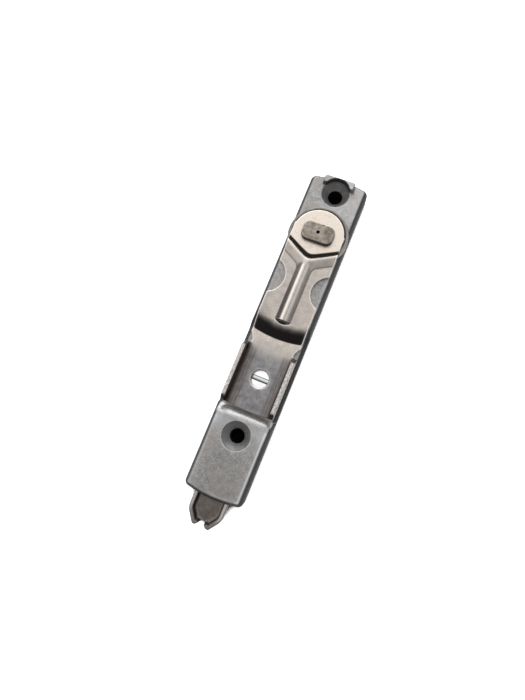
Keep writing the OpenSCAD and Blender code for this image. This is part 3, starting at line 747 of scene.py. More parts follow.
def low_floor(x, y):
    """Height of the floor under the grip, its step and its ramp."""
    r = from_pivot(x, y)
    drop = FACE_Z - LOW_FLOOR_Z
    step = FACE_Z - drop * (r - STEP_R0) / (STEP_R1 - STEP_R0)
    step = smooth_min(step, FACE_Z, 0.35)
    steep = LOW_FLOOR_Z + (RAMP_Y - y) * STEEP_SHARE * drop / STEEP_RUN
    arch = ramp_arch(x)
    gentle = FACE_Z - (y - arch) * GENTLE_SHARE * drop / np.maximum(RAMP_Y - STEEP_RUN - arch, 0.8)
    ramp = smooth_min(smooth_min(steep, gentle, 0.45), FACE_Z, 0.22)
    floor = LOW_FLOOR_Z - np.clip(np.abs(x) - SIDE_HALF + CHAMFER, 0, None)
    return largest(step, ramp, floor) - TINY


def sink_profile(x, y, centre_y, lip):
    """Height of a countersink and its bore, and far above the face outside them."""
    r = np.hypot(x, y - centre_y)
    cone = FACE_Z - TINY - SINK_DEEP + (r - SINK_BORE_R) * SINK_DEEP / (SINK_R - SINK_BORE_R)
    high = np.where(r > SINK_R + 3 * lip, FACE_Z + 9, smooth_min(cone, FACE_Z - TINY, lip))
    return np.where(r < SINK_BORE_R + 0.5 * TINY, BORE_LOW_Z, high)


def lug_outline():
    """The stop lug of the upper end, hollowed along its countersink."""
    tip, blunt = 0.9, 0.7
    bore = LUG_BORE_R + TINY
    turn = math.degrees(math.asin((LUG_Y0 + blunt * 0.5 - HOLE_Y) / bore))
    outer = arc(LUG_HALF - blunt, LUG_Y0 + blunt, blunt, -90, 0, 0.12)
    outer += arc(LUG_HALF - tip, LUG_Y1 - tip, tip, 0, 90, 0.15)
    return arc(0, HOLE_Y, bore, 180 - turn, turn, 0.3) + outer + [(-x, y) for x, y in reversed(outer)]


def casting_lines(outline, lug):
    """Lines along the casting's rounded edges, step, ramp, recess, countersinks and lug."""
    reach = 11.5
    lines = rings(inset(outline, q * EDGE_WIDE)
                  for q in (0.02, 0.07, 0.15, 0.27, 0.42, 0.6, 0.75, 0.88, 1.0, 1.12, 1.28, 1.5))
    for r in (STEP_R0 - 0.6, STEP_R0 - 0.3, STEP_R0, STEP_R0 + 0.3, STEP_R0 + 0.8, STEP_R1):
        lines.append((arc(0, PIVOT_Y, r, -112, -68, 0.6), False))
    for y in (0.0, -0.06, -0.9, -1.5, -1.9, -2.2, -2.5, -2.9):
        lines.append(straight((-reach, RAMP_Y + y), (reach, RAMP_Y + y), 0.6))
    for step in (0.5, 0.25, 0.1, 0.0, -0.15, -0.35, -0.6):
        lines.append(([(x, ramp_arch(x) + step) for x in np.linspace(-reach, reach, 60)], False))
    for x in (SIDE_HALF - CHAMFER, CHAMFER - SIDE_HALF):
        lines.append(straight((x, RAMP_Y - 2), (x, PIVOT_Y - STEP_R1 + 2), 0.8))
    lines += rings(circle(0, PIVOT_Y, RECESS_R + d, 0.5) for d in (-0.04, 0.0, 0.1, 0.25))
    for y in (HOLE_Y, -HOLE_Y):
        lines += rings(circle(0, y, r, 0.4) for r in SINK_RINGS)
    turn = np.linspace(0, 2 * math.pi, 28, endpoint=False)
    for size in (1.0, 0.85, 0.5):
        patch = [(PATCH[0] * size * math.cos(a), PATCH_Y + PATCH[1] * size * math.sin(a)) for a in turn]
        lines.append((patch, True))
    return lines + rings(inset(lug, d) for d in (-TINY, 0.0, 0.04, 0.13, 0.26, 0.4))


def casting_height(xy, outline, lug, lip, rim):
    """Height of the casting's front at each point."""
    x, y = xy.T
    z = edge_profile(distance(outline, xy)) - TINY
    z = np.where((y < 0) & (y > -50), np.minimum(z, low_floor(x, y)), z)
    for centre in (HOLE_Y, -HOLE_Y):
        z = np.minimum(z, sink_profile(x, y, centre, lip))
    r = from_pivot(x, y)
    recess_lip = z - RECESS_LIP_DROP * np.clip(1 - (r - RECESS_R) / RECESS_LIP_WIDE, 0, 1) ** 2
    z = np.where(r < RECESS_R - 0.02, np.minimum(z, RECESS_Z - TINY), recess_lip)
    lug_d = depth_in(lug, xy)
    return np.where(lug_d > -TINY / 2, LUG_TOP - TINY - round_off(lug_d, rim), z)


def paint_casting(piece, outline, lug):
    """Masks for painted shade on the sides, cones, lug and lower face and in the bores, wear with painted
    highlights on the lips, edges, lug and ramp, and a painted sheen on the slopes.
    """
    x, y, z = points_of(piece)
    xy = np.column_stack([x, y])
    across = np.abs(x)
    edge_d = distance(outline, xy)
    lug_d = depth_in(lug, xy)
    on_face = z > FACE_Z - 0.1
    # Side bands painted dark, for the dark reflections of the casting's sides
    side = ease((EDGE_WIDE * 0.97 - edge_d) / (EDGE_WIDE * 0.28)) * (z < FACE_Z + 0.2) * (lug_d <= 0.1)
    # Painted highlight along the face's edge, strongest on the right of the lower face
    crest = hump(edge_d, EDGE_WIDE + 0.25, 0.36) * (np.abs(z - FACE_Z) < 0.5) * (lug_d < -0.3)
    crest *= np.where(y < RAMP_Y - 4, np.where(x > 0, 1.0, 0.35), np.where(x > 0, 0.3, 0.1))
    crest *= np.where(across > 8.4, 1, 0.3)
    lips, cone, sheen, bore = np.zeros((4, len(x)))
    for centre, bright, outlined in ((HOLE_Y, 0.15, 0.0), (-HOLE_Y, 0.5, 0.9)):
        r = np.hypot(x, y - centre)
        in_cone = r < SINK_R - 0.1
        # Painted highlight ring round each sink's lip, brighter on the lower sink
        lips += hump(r, SINK_R + 0.12, 0.16) * bright
        # Upper part of each cone painted dark as shade, and a thin painted shade ring round the lower cone's
        # rim
        shaded = in_cone * (0.05 + 0.22 * ease((y - centre - 1.0) / 3))
        cone = largest(cone, shaded, hump(r, SINK_R - 0.12, 0.11) * outlined)
        # Cones painted lighter on their left: painted sheen
        sheen = largest(sheen, in_cone * (0.42 - 0.08 * x))
        # Bore walls painted black as shade
        bore = largest(bore, (r < SINK_BORE_R + 0.05) * 1.0)
    # Patch under the lever's mouth painted black as shade, so that the mouth looks dark
    mouth_shade = ease((1.08 - np.hypot(x / PATCH[0], (y - PATCH_Y) / PATCH[1])) / 0.5)
    bore = largest(bore, mouth_shade * (z > BOLT_HIGH[2] - 2) * 0.85)
    # Lug's outline painted dark as shade
    lug_side = ease((0.3 - lug_d) / 0.17) * ease((lug_d + 0.12) / 0.1) * on_face
    # Lug tops lighter on the right: painted highlight
    lug_top = ease((lug_d - 0.2) / 0.2) * on_face * np.where(x > 0, 0.45, 0.15)
    outside_sink = np.hypot(x, y - HOLE_Y) > SINK_R
    # Face painted lighter towards its upper right end
    lighter_up_right = 0.3 * ease((y - 30) / 12) * ease((x + 9) / 12) * on_face * outside_sink
    # Steep part of the ramp painted bright where the lever's shadow falls
    band_end = RAMP_Y - 2.6 - 0.15 * np.clip(-x, 0, 9)
    steep = ease((RAMP_Y + 0.2 - y) / 0.3) * ease((y - band_end) / 1.3) * (across < 10.3)
    steep *= np.where(np.abs(x - 1.0) < 6, 0.8, 1.0)
    # A line below the ramp's top painted dark as shade, and the lower face painted darker towards its lower
    # end
    brow = hump(y, RAMP_Y - 3.6, 0.6) * (across < 9.6) * 0.12
    low_face = 0.09 * ease((-52 - y) / 4) * ease((8 - across) / 3)
    # Bluish painted reflection of the sky near the ramp, stronger towards the sides
    near_ramp = hump(y, RAMP_Y - 5.5, 3.5) * (0.35 + 0.65 * (across / 9) ** 2)
    add_masks(piece, as_cast=largest(side, low_face, cone, lug_side, brow), bore=bore,
              worn=largest(crest, lips, lug_top, steep, lighter_up_right), polish=largest(near_ramp, sheen))


class EDGEBOLT_OT_casting(bpy.types.Operator):
    """The die-cast housing with its rounded edges, countersinks, lug and low floor"""
    bl_idname = "edge_bolt.casting"
    bl_label = "Casting"

    def execute(self, context):
        sizes = context.scene.edge_bolt_casting
        outline, lug = casting_outline(), lug_outline()
        points = grid(-10.5, 10.5, HOUSING_LOW[1] + 1, HOUSING_HIGH[1] - 1, 1.3)
        xy, tri = triangulate(outline, [], casting_lines(outline, lug), points, 0.5)
        top = casting_height(xy, outline, lug, sizes.lip / MM, sizes.lug_rim / MM)
        piece = solid_piece("housing_cast", xy, tri, top, BLANK_LOW_Z)
        boolean(piece, node_copy("housing"), "INTERSECT")
        paint_casting(piece, outline, lug)
        finish_piece(piece, cast_zinc(context.scene.edge_bolt_colours.casting), 32)
        for face in piece.data.polygons:
            if face.normal.z < -0.99:
                face.use_smooth = False
        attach(piece, "casing")
        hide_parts("housing")
        return {"FINISHED"}


# The lever
BLADE_TOP = 9.15
BLADE_HALF = 9.55
HEAD_R, HEAD_SHOULDER, HEAD_RISE = 9.4, 1.9, 0.85
NOTCH_R = 6.77
NOTCH_X, NOTCH_Y = 12.1, 10.4
STEP_FROM, STEP_TO = 34.3, 40.6
GRIP_TOP = 6.6
NECK = [(9.55, 41.1), (9.0, 41.6), (8.05, 43.6), (8.2, 45.1)]
REACH = 68.65
GRIP_Y = PIVOT_Y - 45.1
CORNER_Y = PIVOT_Y - math.sqrt(REACH ** 2 - GRIP_HALF ** 2)
FLANGE_TOP = LEVER_HIGH[2]
FLANGE_RISE_LONG, FLANGE_CUT, FLANGE_CUT_SLOPE = 2.1, 1.76, 1.1
GRIP_HOLE_R, GRIP_HOLE_DISH = 3.25, 0.38
OUTER_BEND, LOW_RIM = 2.2, 0.12
MOUTH_Y = PIVOT_Y - 34.2
STEM_HALF = 2.9
# Profile of the bead's arms: steep towards the head, gentle away from it
ARM_SOFT, ARM_UPPER_SLOPE, ARM_LOWER_WIDE = 0.38, 1.25, 2.95
# The stem's upper end under the pivot, how fast it closes there, and how round its crest is
STEM_END, STEM_CLOSING, STEM_SOFT = 10.2, 1.6, 1.3
# Lowest point under the pivot, slope and rounding of the bead's arms and of the head's lower edge
ARMS = (10.75, 0.545, 0.8)
HEAD_VEE = (8.4, 0.522, 1.2)


def vee_y(x, tip, slope, blunt):
    """Height y of a blunt V that opens upwards round the pivot."""
    return PIVOT_Y - tip + slope * np.sqrt(x * x + blunt ** 2)


def above_vee(x, y, vee):
    """How far a point lies above a V, square to its arms."""
    return (y - vee_y(x, *vee)) * math.cos(math.atan(vee[1]))


def lever_outline():
    """Seen from the front: round head, straight blade with two notches, neck and grip."""
    right = arc(0, PIVOT_Y, HEAD_R, 90, math.degrees(math.asin(HEAD_SHOULDER / HEAD_R)), 0.35)
    side_y = PIVOT_Y + HEAD_SHOULDER
    right += [(BLADE_HALF - 0.1, side_y), (BLADE_HALF, side_y - 0.15)]
    turn = math.degrees(math.acos((NOTCH_X - BLADE_HALF) / NOTCH_R))
    right += arc(NOTCH_X, NOTCH_Y, NOTCH_R, 180 - turn, 180 + turn, 0.3)
    right += [(x, PIVOT_Y - y) for x, y in NECK]
    right += [(GRIP_HALF, GRIP_Y), (GRIP_HALF, CORNER_Y + 0.2)]
    tilt = math.degrees(math.asin((GRIP_HALF - 0.15) / REACH))
    right += arc(0, PIVOT_Y, REACH, tilt - 90, -90, 0.5)
    return densify(mirrored(right), 0.35)


def head_hole():
    """The slot with two flats that the spindle's neck fills."""
    r, flat = 5.7, 3.075
    turn = math.degrees(math.asin(flat / r))
    return arc(0, PIVOT_Y, r, -turn, turn, 0.4) + arc(0, PIVOT_Y, r, 180 - turn, 180 + turn, 0.4)


def mouth_hole():
    """The crescent slot below the stem's open end."""
    half = 2.75
    low = [(x, MOUTH_Y - 0.15 - 0.95 * (1 - (x / half) ** 2)) for x in np.linspace(-half, half, 15)]
    return low + [(x, MOUTH_Y) for x in np.linspace(half, -half, 13)]


def lever_core(x, y, arm_h, stem_h):
    """Top of the pressed sheet without its flanges and rims, and the bead's share of it."""
    d = above_vee(x, y, ARMS)
    rounded = np.sqrt(d * d + ARM_SOFT ** 2) - ARM_SOFT
    arm = arm_h - rounded * np.where(d > 0, ARM_UPPER_SLOPE, arm_h / ARM_LOWER_WIDE)
    past = np.clip(y - (PIVOT_Y - STEM_END), 0, None)
    away = np.hypot(x, past * STEM_CLOSING)
    stem = np.sqrt(away ** 2 + STEM_SOFT ** 2) - STEM_SOFT
    stem = stem_h - stem * stem_h / (math.hypot(STEM_HALF, STEM_SOFT) - STEM_SOFT)
    stem = np.where(y < MOUTH_Y, -2.0, stem)
    fillet = 0.45 + 0.35 * np.clip(1 - np.maximum(arm, stem) / 0.7, 0, 1)
    bead = smooth_max(arm, stem, np.where(y < PIVOT_Y - 11, fillet, 0.45))
    bead = smooth_max(bead, 0, 0.10)
    head = HEAD_RISE * ease((above_vee(x, y, HEAD_VEE) + 0.75) / 0.8)
    r = from_pivot(x, y)
    q = np.clip((r - STEP_FROM) / (STEP_TO - STEP_FROM), 0, 2)
    bow = 0.42
    fall = np.where(q < bow, q * q / (2 * bow), q - bow / 2) / (1 - bow / 2)
    base = smooth_max(BLADE_TOP - (BLADE_TOP - GRIP_TOP) * fall, GRIP_TOP, 0.10)
    return base + bead + head, bead


def flange_height(y):
    """Top of the flanges: sloping upper end, straight run, cut-off lower corner."""
    upper = GRIP_TOP + (GRIP_Y + 0.1 - y) * (FLANGE_TOP - GRIP_TOP) / FLANGE_RISE_LONG
    lower = FLANGE_TOP - FLANGE_CUT + (y - CORNER_Y - 0.3) * FLANGE_CUT_SLOPE
    return np.minimum(np.minimum(upper, lower), FLANGE_TOP)


def lever_lines(outline, mouth, rim, bend):
    """Lines along the lever's rims, mouth, grip hole and bends, and at the ends of its flanges."""
    steps = rim_steps(rim, 18, 36, 54, 72, 90)
    lines = rings(inset(outline, d) for d in steps + [rim + 0.2])
    lines += rings(inset(mouth, -d) for d in steps)
    lines += rings(circle(0, SCREW_Y, GRIP_HOLE_R + d, 0.3) for d in (0.08, 0.2, 0.38, 0.5))
    for d in (-bend, -bend * 0.75, -bend * 0.5, -bend * 0.25, -0.08, -TINY, 0.0, 0.06, 0.16, 0.3):
        for x in (-(WALL_X + d), WALL_X + d):
            lines.append(straight((x, GRIP_Y + 0.3), (x, PIVOT_Y - REACH - 1), 0.4))
    for y in (0.1, -0.15, -1.9, -2.0, -2.2):
        lines.append(straight((-11, GRIP_Y + y), (11, GRIP_Y + y), 0.5))
    return lines


def lever_points():
    """Loose points: dense on the blade and its step, sparse on the head and the grip."""
    points = grid(-9.4, 9.4, PIVOT_Y - 33.6, PIVOT_Y - 2.5, 0.27)
    points += grid(-9.0, 9.0, PIVOT_Y - 1.0, PIVOT_Y + 9, 1.0)
    points += grid(-8.5, 8.5, PIVOT_Y - REACH, PIVOT_Y - 43, 0.8)
    for r in np.arange(33.4, 43, 0.22):
        points += arc(0, PIVOT_Y, r, -107, -73, 0.35)
    return points


def lever_heights(xy, outline, mouth, sheet, rim, bend, heights):
    """Top and underside of the lever at each point."""
    x, y = xy.T
    across = np.abs(x)
    in_grip = y < GRIP_Y + 0.2
    on_wall = across > WALL_X - TINY / 2
    edge_d = distance(outline, xy)
    hole_d = np.hypot(x, y - SCREW_Y) - GRIP_HOLE_R
    core = lever_core(x, y, *heights)[0]
    flange = flange_height(y)
    floor = np.minimum(core + bent(across - (WALL_X - bend), bend), np.maximum(flange, core))
    cap = flange - round_off(across - WALL_X, rim) * on_wall
    top = np.where(in_grip, np.where(on_wall, np.maximum(cap, core), floor), core)
    top -= round_off(edge_d, rim) + round_off(distance(mouth, xy), rim)
    top -= GRIP_HOLE_DISH * np.clip(1 - hole_d / 0.4, 0, 1) * (hole_d < 0.5)
    outer = bent(OUTER_BEND - (GRIP_HALF - across), OUTER_BEND) * (across < GRIP_HALF + 0.1)
    under = core - sheet + np.where(in_grip, outer, round_off(edge_d, LOW_RIM))
    return top, np.maximum(np.minimum(under, top - 0.35), LEVER_LOW[2])


def paint_lever(piece, xy, top, outline, mouth, rim, heights):
    """Masks for the lever's worn edges with painted highlights, its head, its grip with the flanges, the
    step and flange ends painted dark as shade, and painted shade along the bead and bends.
    """
    x, y = xy.T
    across = np.abs(x)
    in_grip = y < GRIP_Y + 0.2
    edge_d, lip_d = distance(outline, xy), distance(mouth, xy)
    hole_d = np.hypot(x, y - SCREW_Y) - GRIP_HOLE_R
    r = from_pivot(x, y)
    beside = 0.05
    bead, right, left = (lever_core(x + dx, y, *heights)[1] for dx in (0, beside, -beside))
    lean = (right - left) / (2 * beside)
    below_arms = vee_y(x, *ARMS) - y
    over_arms = above_vee(x, y, ARMS)
    on_stem = ease((y - MOUTH_Y) / 0.3) * ease((below_arms - 0.9) / 1.8) * (across < 4.5)
    flange_tops = in_grip * (across > WALL_X + 0.03) * (top > FLANGE_TOP - rim + 0.04)
    # Dark valley between the head and the bead's arms: painted shade
    valley = ease((vee_y(x, *HEAD_VEE) - y + 0.05) / 0.2) * ease((over_arms - 0.2) / 0.75)
    # Worn rims, and painted highlights on the rims, along the arms' crest and in two stripes down the stem
    worn = largest(
        hump(edge_d, 0, 0.30) * ~in_grip,
        hump(over_arms, -0.1, 0.5) * (0.42 - 0.2 * ease((x - 1) / 3)),
        (hump(x, -0.75, 0.42) + hump(x, 1.15, 0.4) * 0.75) * on_stem,
        hump(hole_d, 0.2, 0.25),
        hump(lip_d, 0, 0.3) * (y < MOUTH_Y - 0.2),
        0.05 * ease((y - PIVOT_Y + 24) / 8) * (below_arms > -2))
    # Painted shade: the valley, thin lines along the bead's foot, the stem's flanks, and a grey line down
    # the stem's crest as a painted dark reflection
    grime = largest(
        valley,
        hump(bead, 0.09, 0.075) * (y > MOUTH_Y) * (below_arms > 0) * 0.95,
        hump(x, 0.3, 0.16) * on_stem * 0.6,
        ease((lean - 0.26) / 0.16) * on_stem * 0.95,
        ease((-lean - 0.3) / 0.2) * on_stem * 0.16)
    early = ease((-1.0 - x) / 6)
    # The step down to the grip painted dark as shade, for its dark reflection
    step_shade = ease((r - STEP_FROM - 0.1 + early) / (3.6 + 0.5 * early)) ** 0.8
    # The flanges' lower ends and the mouth's upper lip painted black as shade, and the flanges' upper ends
    # darkened
    flange_ends = in_grip * (across > WALL_X - 0.1) * (top < FLANGE_TOP - rim - 0.05)
    step = largest(
        step_shade * (r < STEP_TO + 0.12),
        flange_ends * (y < SCREW_Y - 8),
        flange_ends * (y > SCREW_Y + 8) * 0.75,
        (lip_d < 0.02) * (y > MOUTH_Y - 0.05))
    grip = 0.25 * ease((r - 41.5) / 2.5) + 0.75 * ease((r - 44.5) / 5.5)
    add_masks(piece, worn=np.clip(worn * (1 - flange_tops), 0, 1) * (1 - valley), grime=grime, step=step,
              head=ease((-below_arms - 1.9) / 0.5), grip=grip * (1 - flange_tops),
              flange=flange_tops, bends=in_grip * ease((GRIP_Y - 0.1 - y) / 1.8))


class EDGEBOLT_OT_lever(bpy.types.Operator):
    """The pressed lever with its bead, step, notches and two flanges"""
    bl_idname = "edge_bolt.lever"
    bl_label = "Lever"

    def execute(self, context):
        sizes = context.scene.edge_bolt_sheet
        rim, bend = sizes.rim / MM, sizes.bend / MM
        heights = sizes.arm_height / MM, sizes.stem_height / MM
        outline, mouth = lever_outline(), mouth_hole()
        holes = [head_hole(), circle(0, SCREW_Y, GRIP_HOLE_R, 0.3), mouth]
        lines = lever_lines(outline, mouth, rim, bend)
        xy, tri = triangulate(outline, holes, lines, lever_points(), 0.13)
        top, under = lever_heights(xy, outline, mouth, sizes.thickness / MM, rim, bend, heights)
        piece = solid_piece("lever_pressed", xy, tri, top, under)
        paint_lever(piece, xy, top, outline, mouth, rim, heights)
        finish_piece(piece, rolled_steel(context.scene.edge_bolt_colours.lever), 40)
        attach(piece, "lever_set")
        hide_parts("lever")
        return {"FINISHED"}


# The spindle
HEAD_CUT_Z = 9.3
SPINDLE_RIM = 0.42
# The head's dome and ripples, its centre mark and the dent beside it
DOME, RIPPLE, RIPPLE_PACE, RIPPLE_R = 0.006, 0.03, 3.4, 2.6
MARK_R, MARK_DEEP, NICK_DEEP = 0.64, 0.9, 0.5
DISC_STEEL = (0.245, 0.225, 0.20)


def spindle_outline():
    """The peened end: straight flats, bowed ends and round corners."""
    half_x, half_y, corner = 5.95, 3.42, 2.45
    right = arc(half_x - corner, half_y - corner, corner, 90, 12, 0.12)
    half = right + [(half_x, 0.0)] + [(x, -y) for x, y in reversed(right)]
    loop = half + [(-x, y) for x, y in reversed(half)]
    return [(x, y + PIVOT_Y) for x, y in densify(loop, 0.3)]


def spindle_nick(x, y):
    return hump(x, 1.0, 0.3) * hump(y - PIVOT_Y, 3.0, 0.28)


class EDGEBOLT_OT_spindle(bpy.types.Operator):
    """The spindle with its peened head, and the disc under the lever"""
    bl_idname = "edge_bolt.spindle"
    bl_label = "Spindle and disc"

    def execute(self, context):
        outline = spindle_outline()
        lines = rings(inset(outline, d) for d in rim_steps(SPINDLE_RIM, 15, 30, 45, 60, 75, 90))
        lines += rings(circle(0, PIVOT_Y, r, 0.15) for r in (0.62, 0.66, 0.74, 0.9))
        points = grid(-5.5, 5.5, PIVOT_Y - 3.2, PIVOT_Y + 3.2, 0.4)
        xy, tri = triangulate(outline, [], lines, points, 0.12)
        x, y = xy.T
        r = from_pivot(x, y)
        top = SPINDLE_HIGH[2] - round_off(distance(outline, xy), SPINDLE_RIM) - DOME * r * r
        top += RIPPLE * np.cos(r * RIPPLE_PACE) * hump(r, 0, RIPPLE_R)
        top = np.minimum(np.where(r < MARK_R, top - MARK_DEEP, top), SPINDLE_HIGH[2])
        top -= NICK_DEEP * spindle_nick(x, y)
        head = solid_piece("spindle_head", xy, tri, top, HEAD_CUT_Z - TINY)
        shaft = node_copy("spindle")
        cut = 0.04
        bpy.ops.mesh.primitive_cube_add(size=cut, location=(0, PIVOT_Y * MM, HEAD_CUT_Z * MM + cut / 2))
        boolean(shaft, bpy.context.object, "DIFFERENCE")
        boolean(head, shaft, "UNION")
        x, y, z = points_of(head)
        edge_d = distance(outline, np.column_stack([x, y]))
        r = from_pivot(x, y)
        peened = z > SPINDLE_HIGH[2] - 0.35
        tool_rings = 0.4 * hump(r, 1.9, 0.18) + 0.35 * hump(r, 0.95, 0.12)
        # The head's side wall, the nick and the centre mark painted dark as shade
        wall = (edge_d < 0.25) * ~peened * (z > HEAD_CUT_Z - 0.1)
        add_masks(head, worn=largest(hump(edge_d, 0.2, 0.16) * 0.4, tool_rings) * peened,
                  grime=spindle_nick(x, y) + wall + (r < 0.7))
        head.name = "spindle_riveted"
        base = context.scene.edge_bolt_colours.spindle
        finish_piece(head, dull_steel("spindle_steel", base, (0.34, 0.5), 560.0, depth=0.5), 35)
        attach(head, "lever_set")
        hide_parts("spindle")
        disc_steel = dull_steel("disc_steel", DISC_STEEL, (0.3, 0.45), shade_r=HEAD_R + 0.85)
        dress_node("thrust_disc", disc_steel, 0.12)
        return {"FINISHED"}


# The bolt
BOLT_HALF, TIP_Y = BOLT_HIGH[0], BOLT_LOW[1]
STRIP_TOP = BOLT_LOW[2] + 1.5
PRONG_X, PRONG_R, TIP_LEN = 2.6, 1.05, 4.7
TIP_NOTCH_R = 1.6
WINDOW = 3.3
SLOT_R, SLOT_PLAY = 4.4, 0.4
WALL_END_Y = RAMP_Y - 2.7 - TRAVEL
WALL_T, WALL_RIM, WALL_RIM_IN = 1.48, 0.55, 0.25
BOLT_BEND, BOLT_BEND_OUT = 1.0, 1.6
# Wear and painted highlights on the bolt's walls
BOLT_WEAR_AND_HIGHLIGHT = (0.66, 0.62, 0.59)


def bolt_side():
    """Right side of the bolt, from the notch in its tip to its upper end."""
    shoulder = TIP_Y + TIP_LEN
    side = arc(0, TIP_Y, TIP_NOTCH_R, 90, 80 - math.degrees(math.asin(0.78)), 0.15)
    side += arc(PRONG_X, TIP_Y + PRONG_R, PRONG_R, 215, 330, 0.2)
    start, knee, end = np.array([(BOLT_HALF - 1.15, shoulder - 1.7), (BOLT_HALF, shoulder - 0.15),
                                 (BOLT_HALF, shoulder + 1.5)])
    for t in np.linspace(0, 1, 9):
        side.append(tuple((1 - t) ** 2 * start + 2 * t * (1 - t) * knee + t * t * end))
    return side + [(BOLT_HALF, BOLT_HIGH[1])]


def bolt_lines(path):
    """Lines along both walls, their rims and bends, and across the walls' upper ends."""
    lines = []
    for d in (0.03, 0.1, 0.22, 0.4, 0.62, 1.25, 1.4, 1.47, 1.5, 1.6, 1.8, 2.1, 2.5):
        ring = inset(path + [(0.0, WALL_END_Y), (0.0, TIP_Y + 2.5)], d)[:len(path)]
        ring = [p for p in ring if p[0] > 0.2]
        lines += [(ring, False), ([(-x, y) for x, y in ring], False)]
    for y in (WALL_END_Y, WALL_END_Y + TINY):
        lines.append(straight((-BOLT_HALF, y), (BOLT_HALF, y), 0.4))
    return lines


def bolt_heights(y, d):
    """Top and underside at each point, from its distance to the outside of the nearer wall."""
    wall_top = BOLT_HIGH[2] - round_off(d, WALL_RIM) - round_off(WALL_T - d, WALL_RIM_IN)
    floor = STRIP_TOP + bent(BOLT_BEND - (d - WALL_T), BOLT_BEND)
    top = np.where(d < WALL_T + 0.005, wall_top, floor)
    top = np.where(y > WALL_END_Y + TINY / 2, STRIP_TOP, top)
    under = BOLT_LOW[2] + bent(BOLT_BEND_OUT - d, BOLT_BEND_OUT) * (y < WALL_END_Y)
    return top, np.minimum(under, top - 0.3)


class EDGEBOLT_OT_bolt(bpy.types.Operator):
    """The sliding bolt: a bent channel with a tapered, forked tip"""
    bl_idname = "edge_bolt.bolt"
    bl_label = "Bolt"

    def execute(self, context):
        side = bolt_side()
        fork = [(WINDOW, BOLT_HIGH[1]), (WINDOW, PIVOT_Y - TRAVEL - WINDOW)]
        outline = densify(mirrored([(0.0, TIP_Y + TIP_NOTCH_R)] + side[1:] + fork), 0.4)
        holes = []
        for y in (-HOLE_Y, SCREW_Y):
            low = arc(0, y - TRAVEL - SLOT_PLAY, SLOT_R, 180, 360, 0.5)
            holes.append(arc(0, y + SLOT_PLAY, SLOT_R, 0, 180, 0.5) + low)
        wall = [p for p in side if (p[0] > 2.2 or p[1] < TIP_Y + 0.3) and p[1] < WALL_END_Y]
        path = densify(wall + [(BOLT_HALF, WALL_END_Y)], 0.35, False)
        points = grid(-6, 6, TIP_Y, WALL_END_Y, 0.45) + grid(-6, 6, WALL_END_Y, BOLT_HIGH[1], 2.0)
        xy, tri = triangulate(outline, holes, bolt_lines(path), points, 0.12)
        x, y = xy.T
        d = np.minimum(*(distance([(s * px, py) for px, py in path], xy, False) for s in (1, -1)))
        top, under = bolt_heights(y, d)
        piece = solid_piece("bolt_channel", xy, tri, top, under)
        walled = y < WALL_END_Y
        on_wall = (d < WALL_T) * (top > STRIP_TOP + 1.5)
        # Wall tops: painted highlight, strongest near the housing and on the right wall
        run_out = ease((y - TIP_Y - 2.5) / 4.5)
        tops = on_wall * hump(d, 0.7, 0.42) * (0.28 + run_out * np.where(x > 0, 1.5, 0.7))
        # A thin painted shade along the foot of each wall, with a faint painted highlight beside it
        add_masks(piece, worn=largest(tops, hump(d, 2.35, 0.16) * 0.3) * walled,
                  grime=hump(d, 1.6, 0.12) * 0.6 * walled)
        base = context.scene.edge_bolt_colours.bolt
        finish_piece(piece, dull_steel("bolt_steel", base, (0.4, 0.58), 520.0, BOLT_WEAR_AND_HIGHLIGHT), 40)
        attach(piece, "bolt_set")
        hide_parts("bolt")
        return {"FINISHED"}


# The rivets
RIVET_BREAK = 0.15
RIVET_PLATING = (0.55, 0.55, 0.56)


def node_islands(name):
    """Low and high corner of each loose part of a CAD node, in millimetres."""
    piece = node_copy(name)
    points = points_of(piece).T
    a, b = np.array([edge.vertices[:] for edge in piece.data.edges]).T
    owner, before = np.arange(len(points)), None
    while before is None or (owner != before).any():
        before = owner.copy()
        lower = np.minimum(owner[a], owner[b])
        np.minimum.at(owner, a, lower)
        np.minimum.at(owner, b, lower)
    bpy.data.objects.remove(piece)
    return [(points[owner == part].min(0), points[owner == part].max(0)) for part in np.unique(owner)]


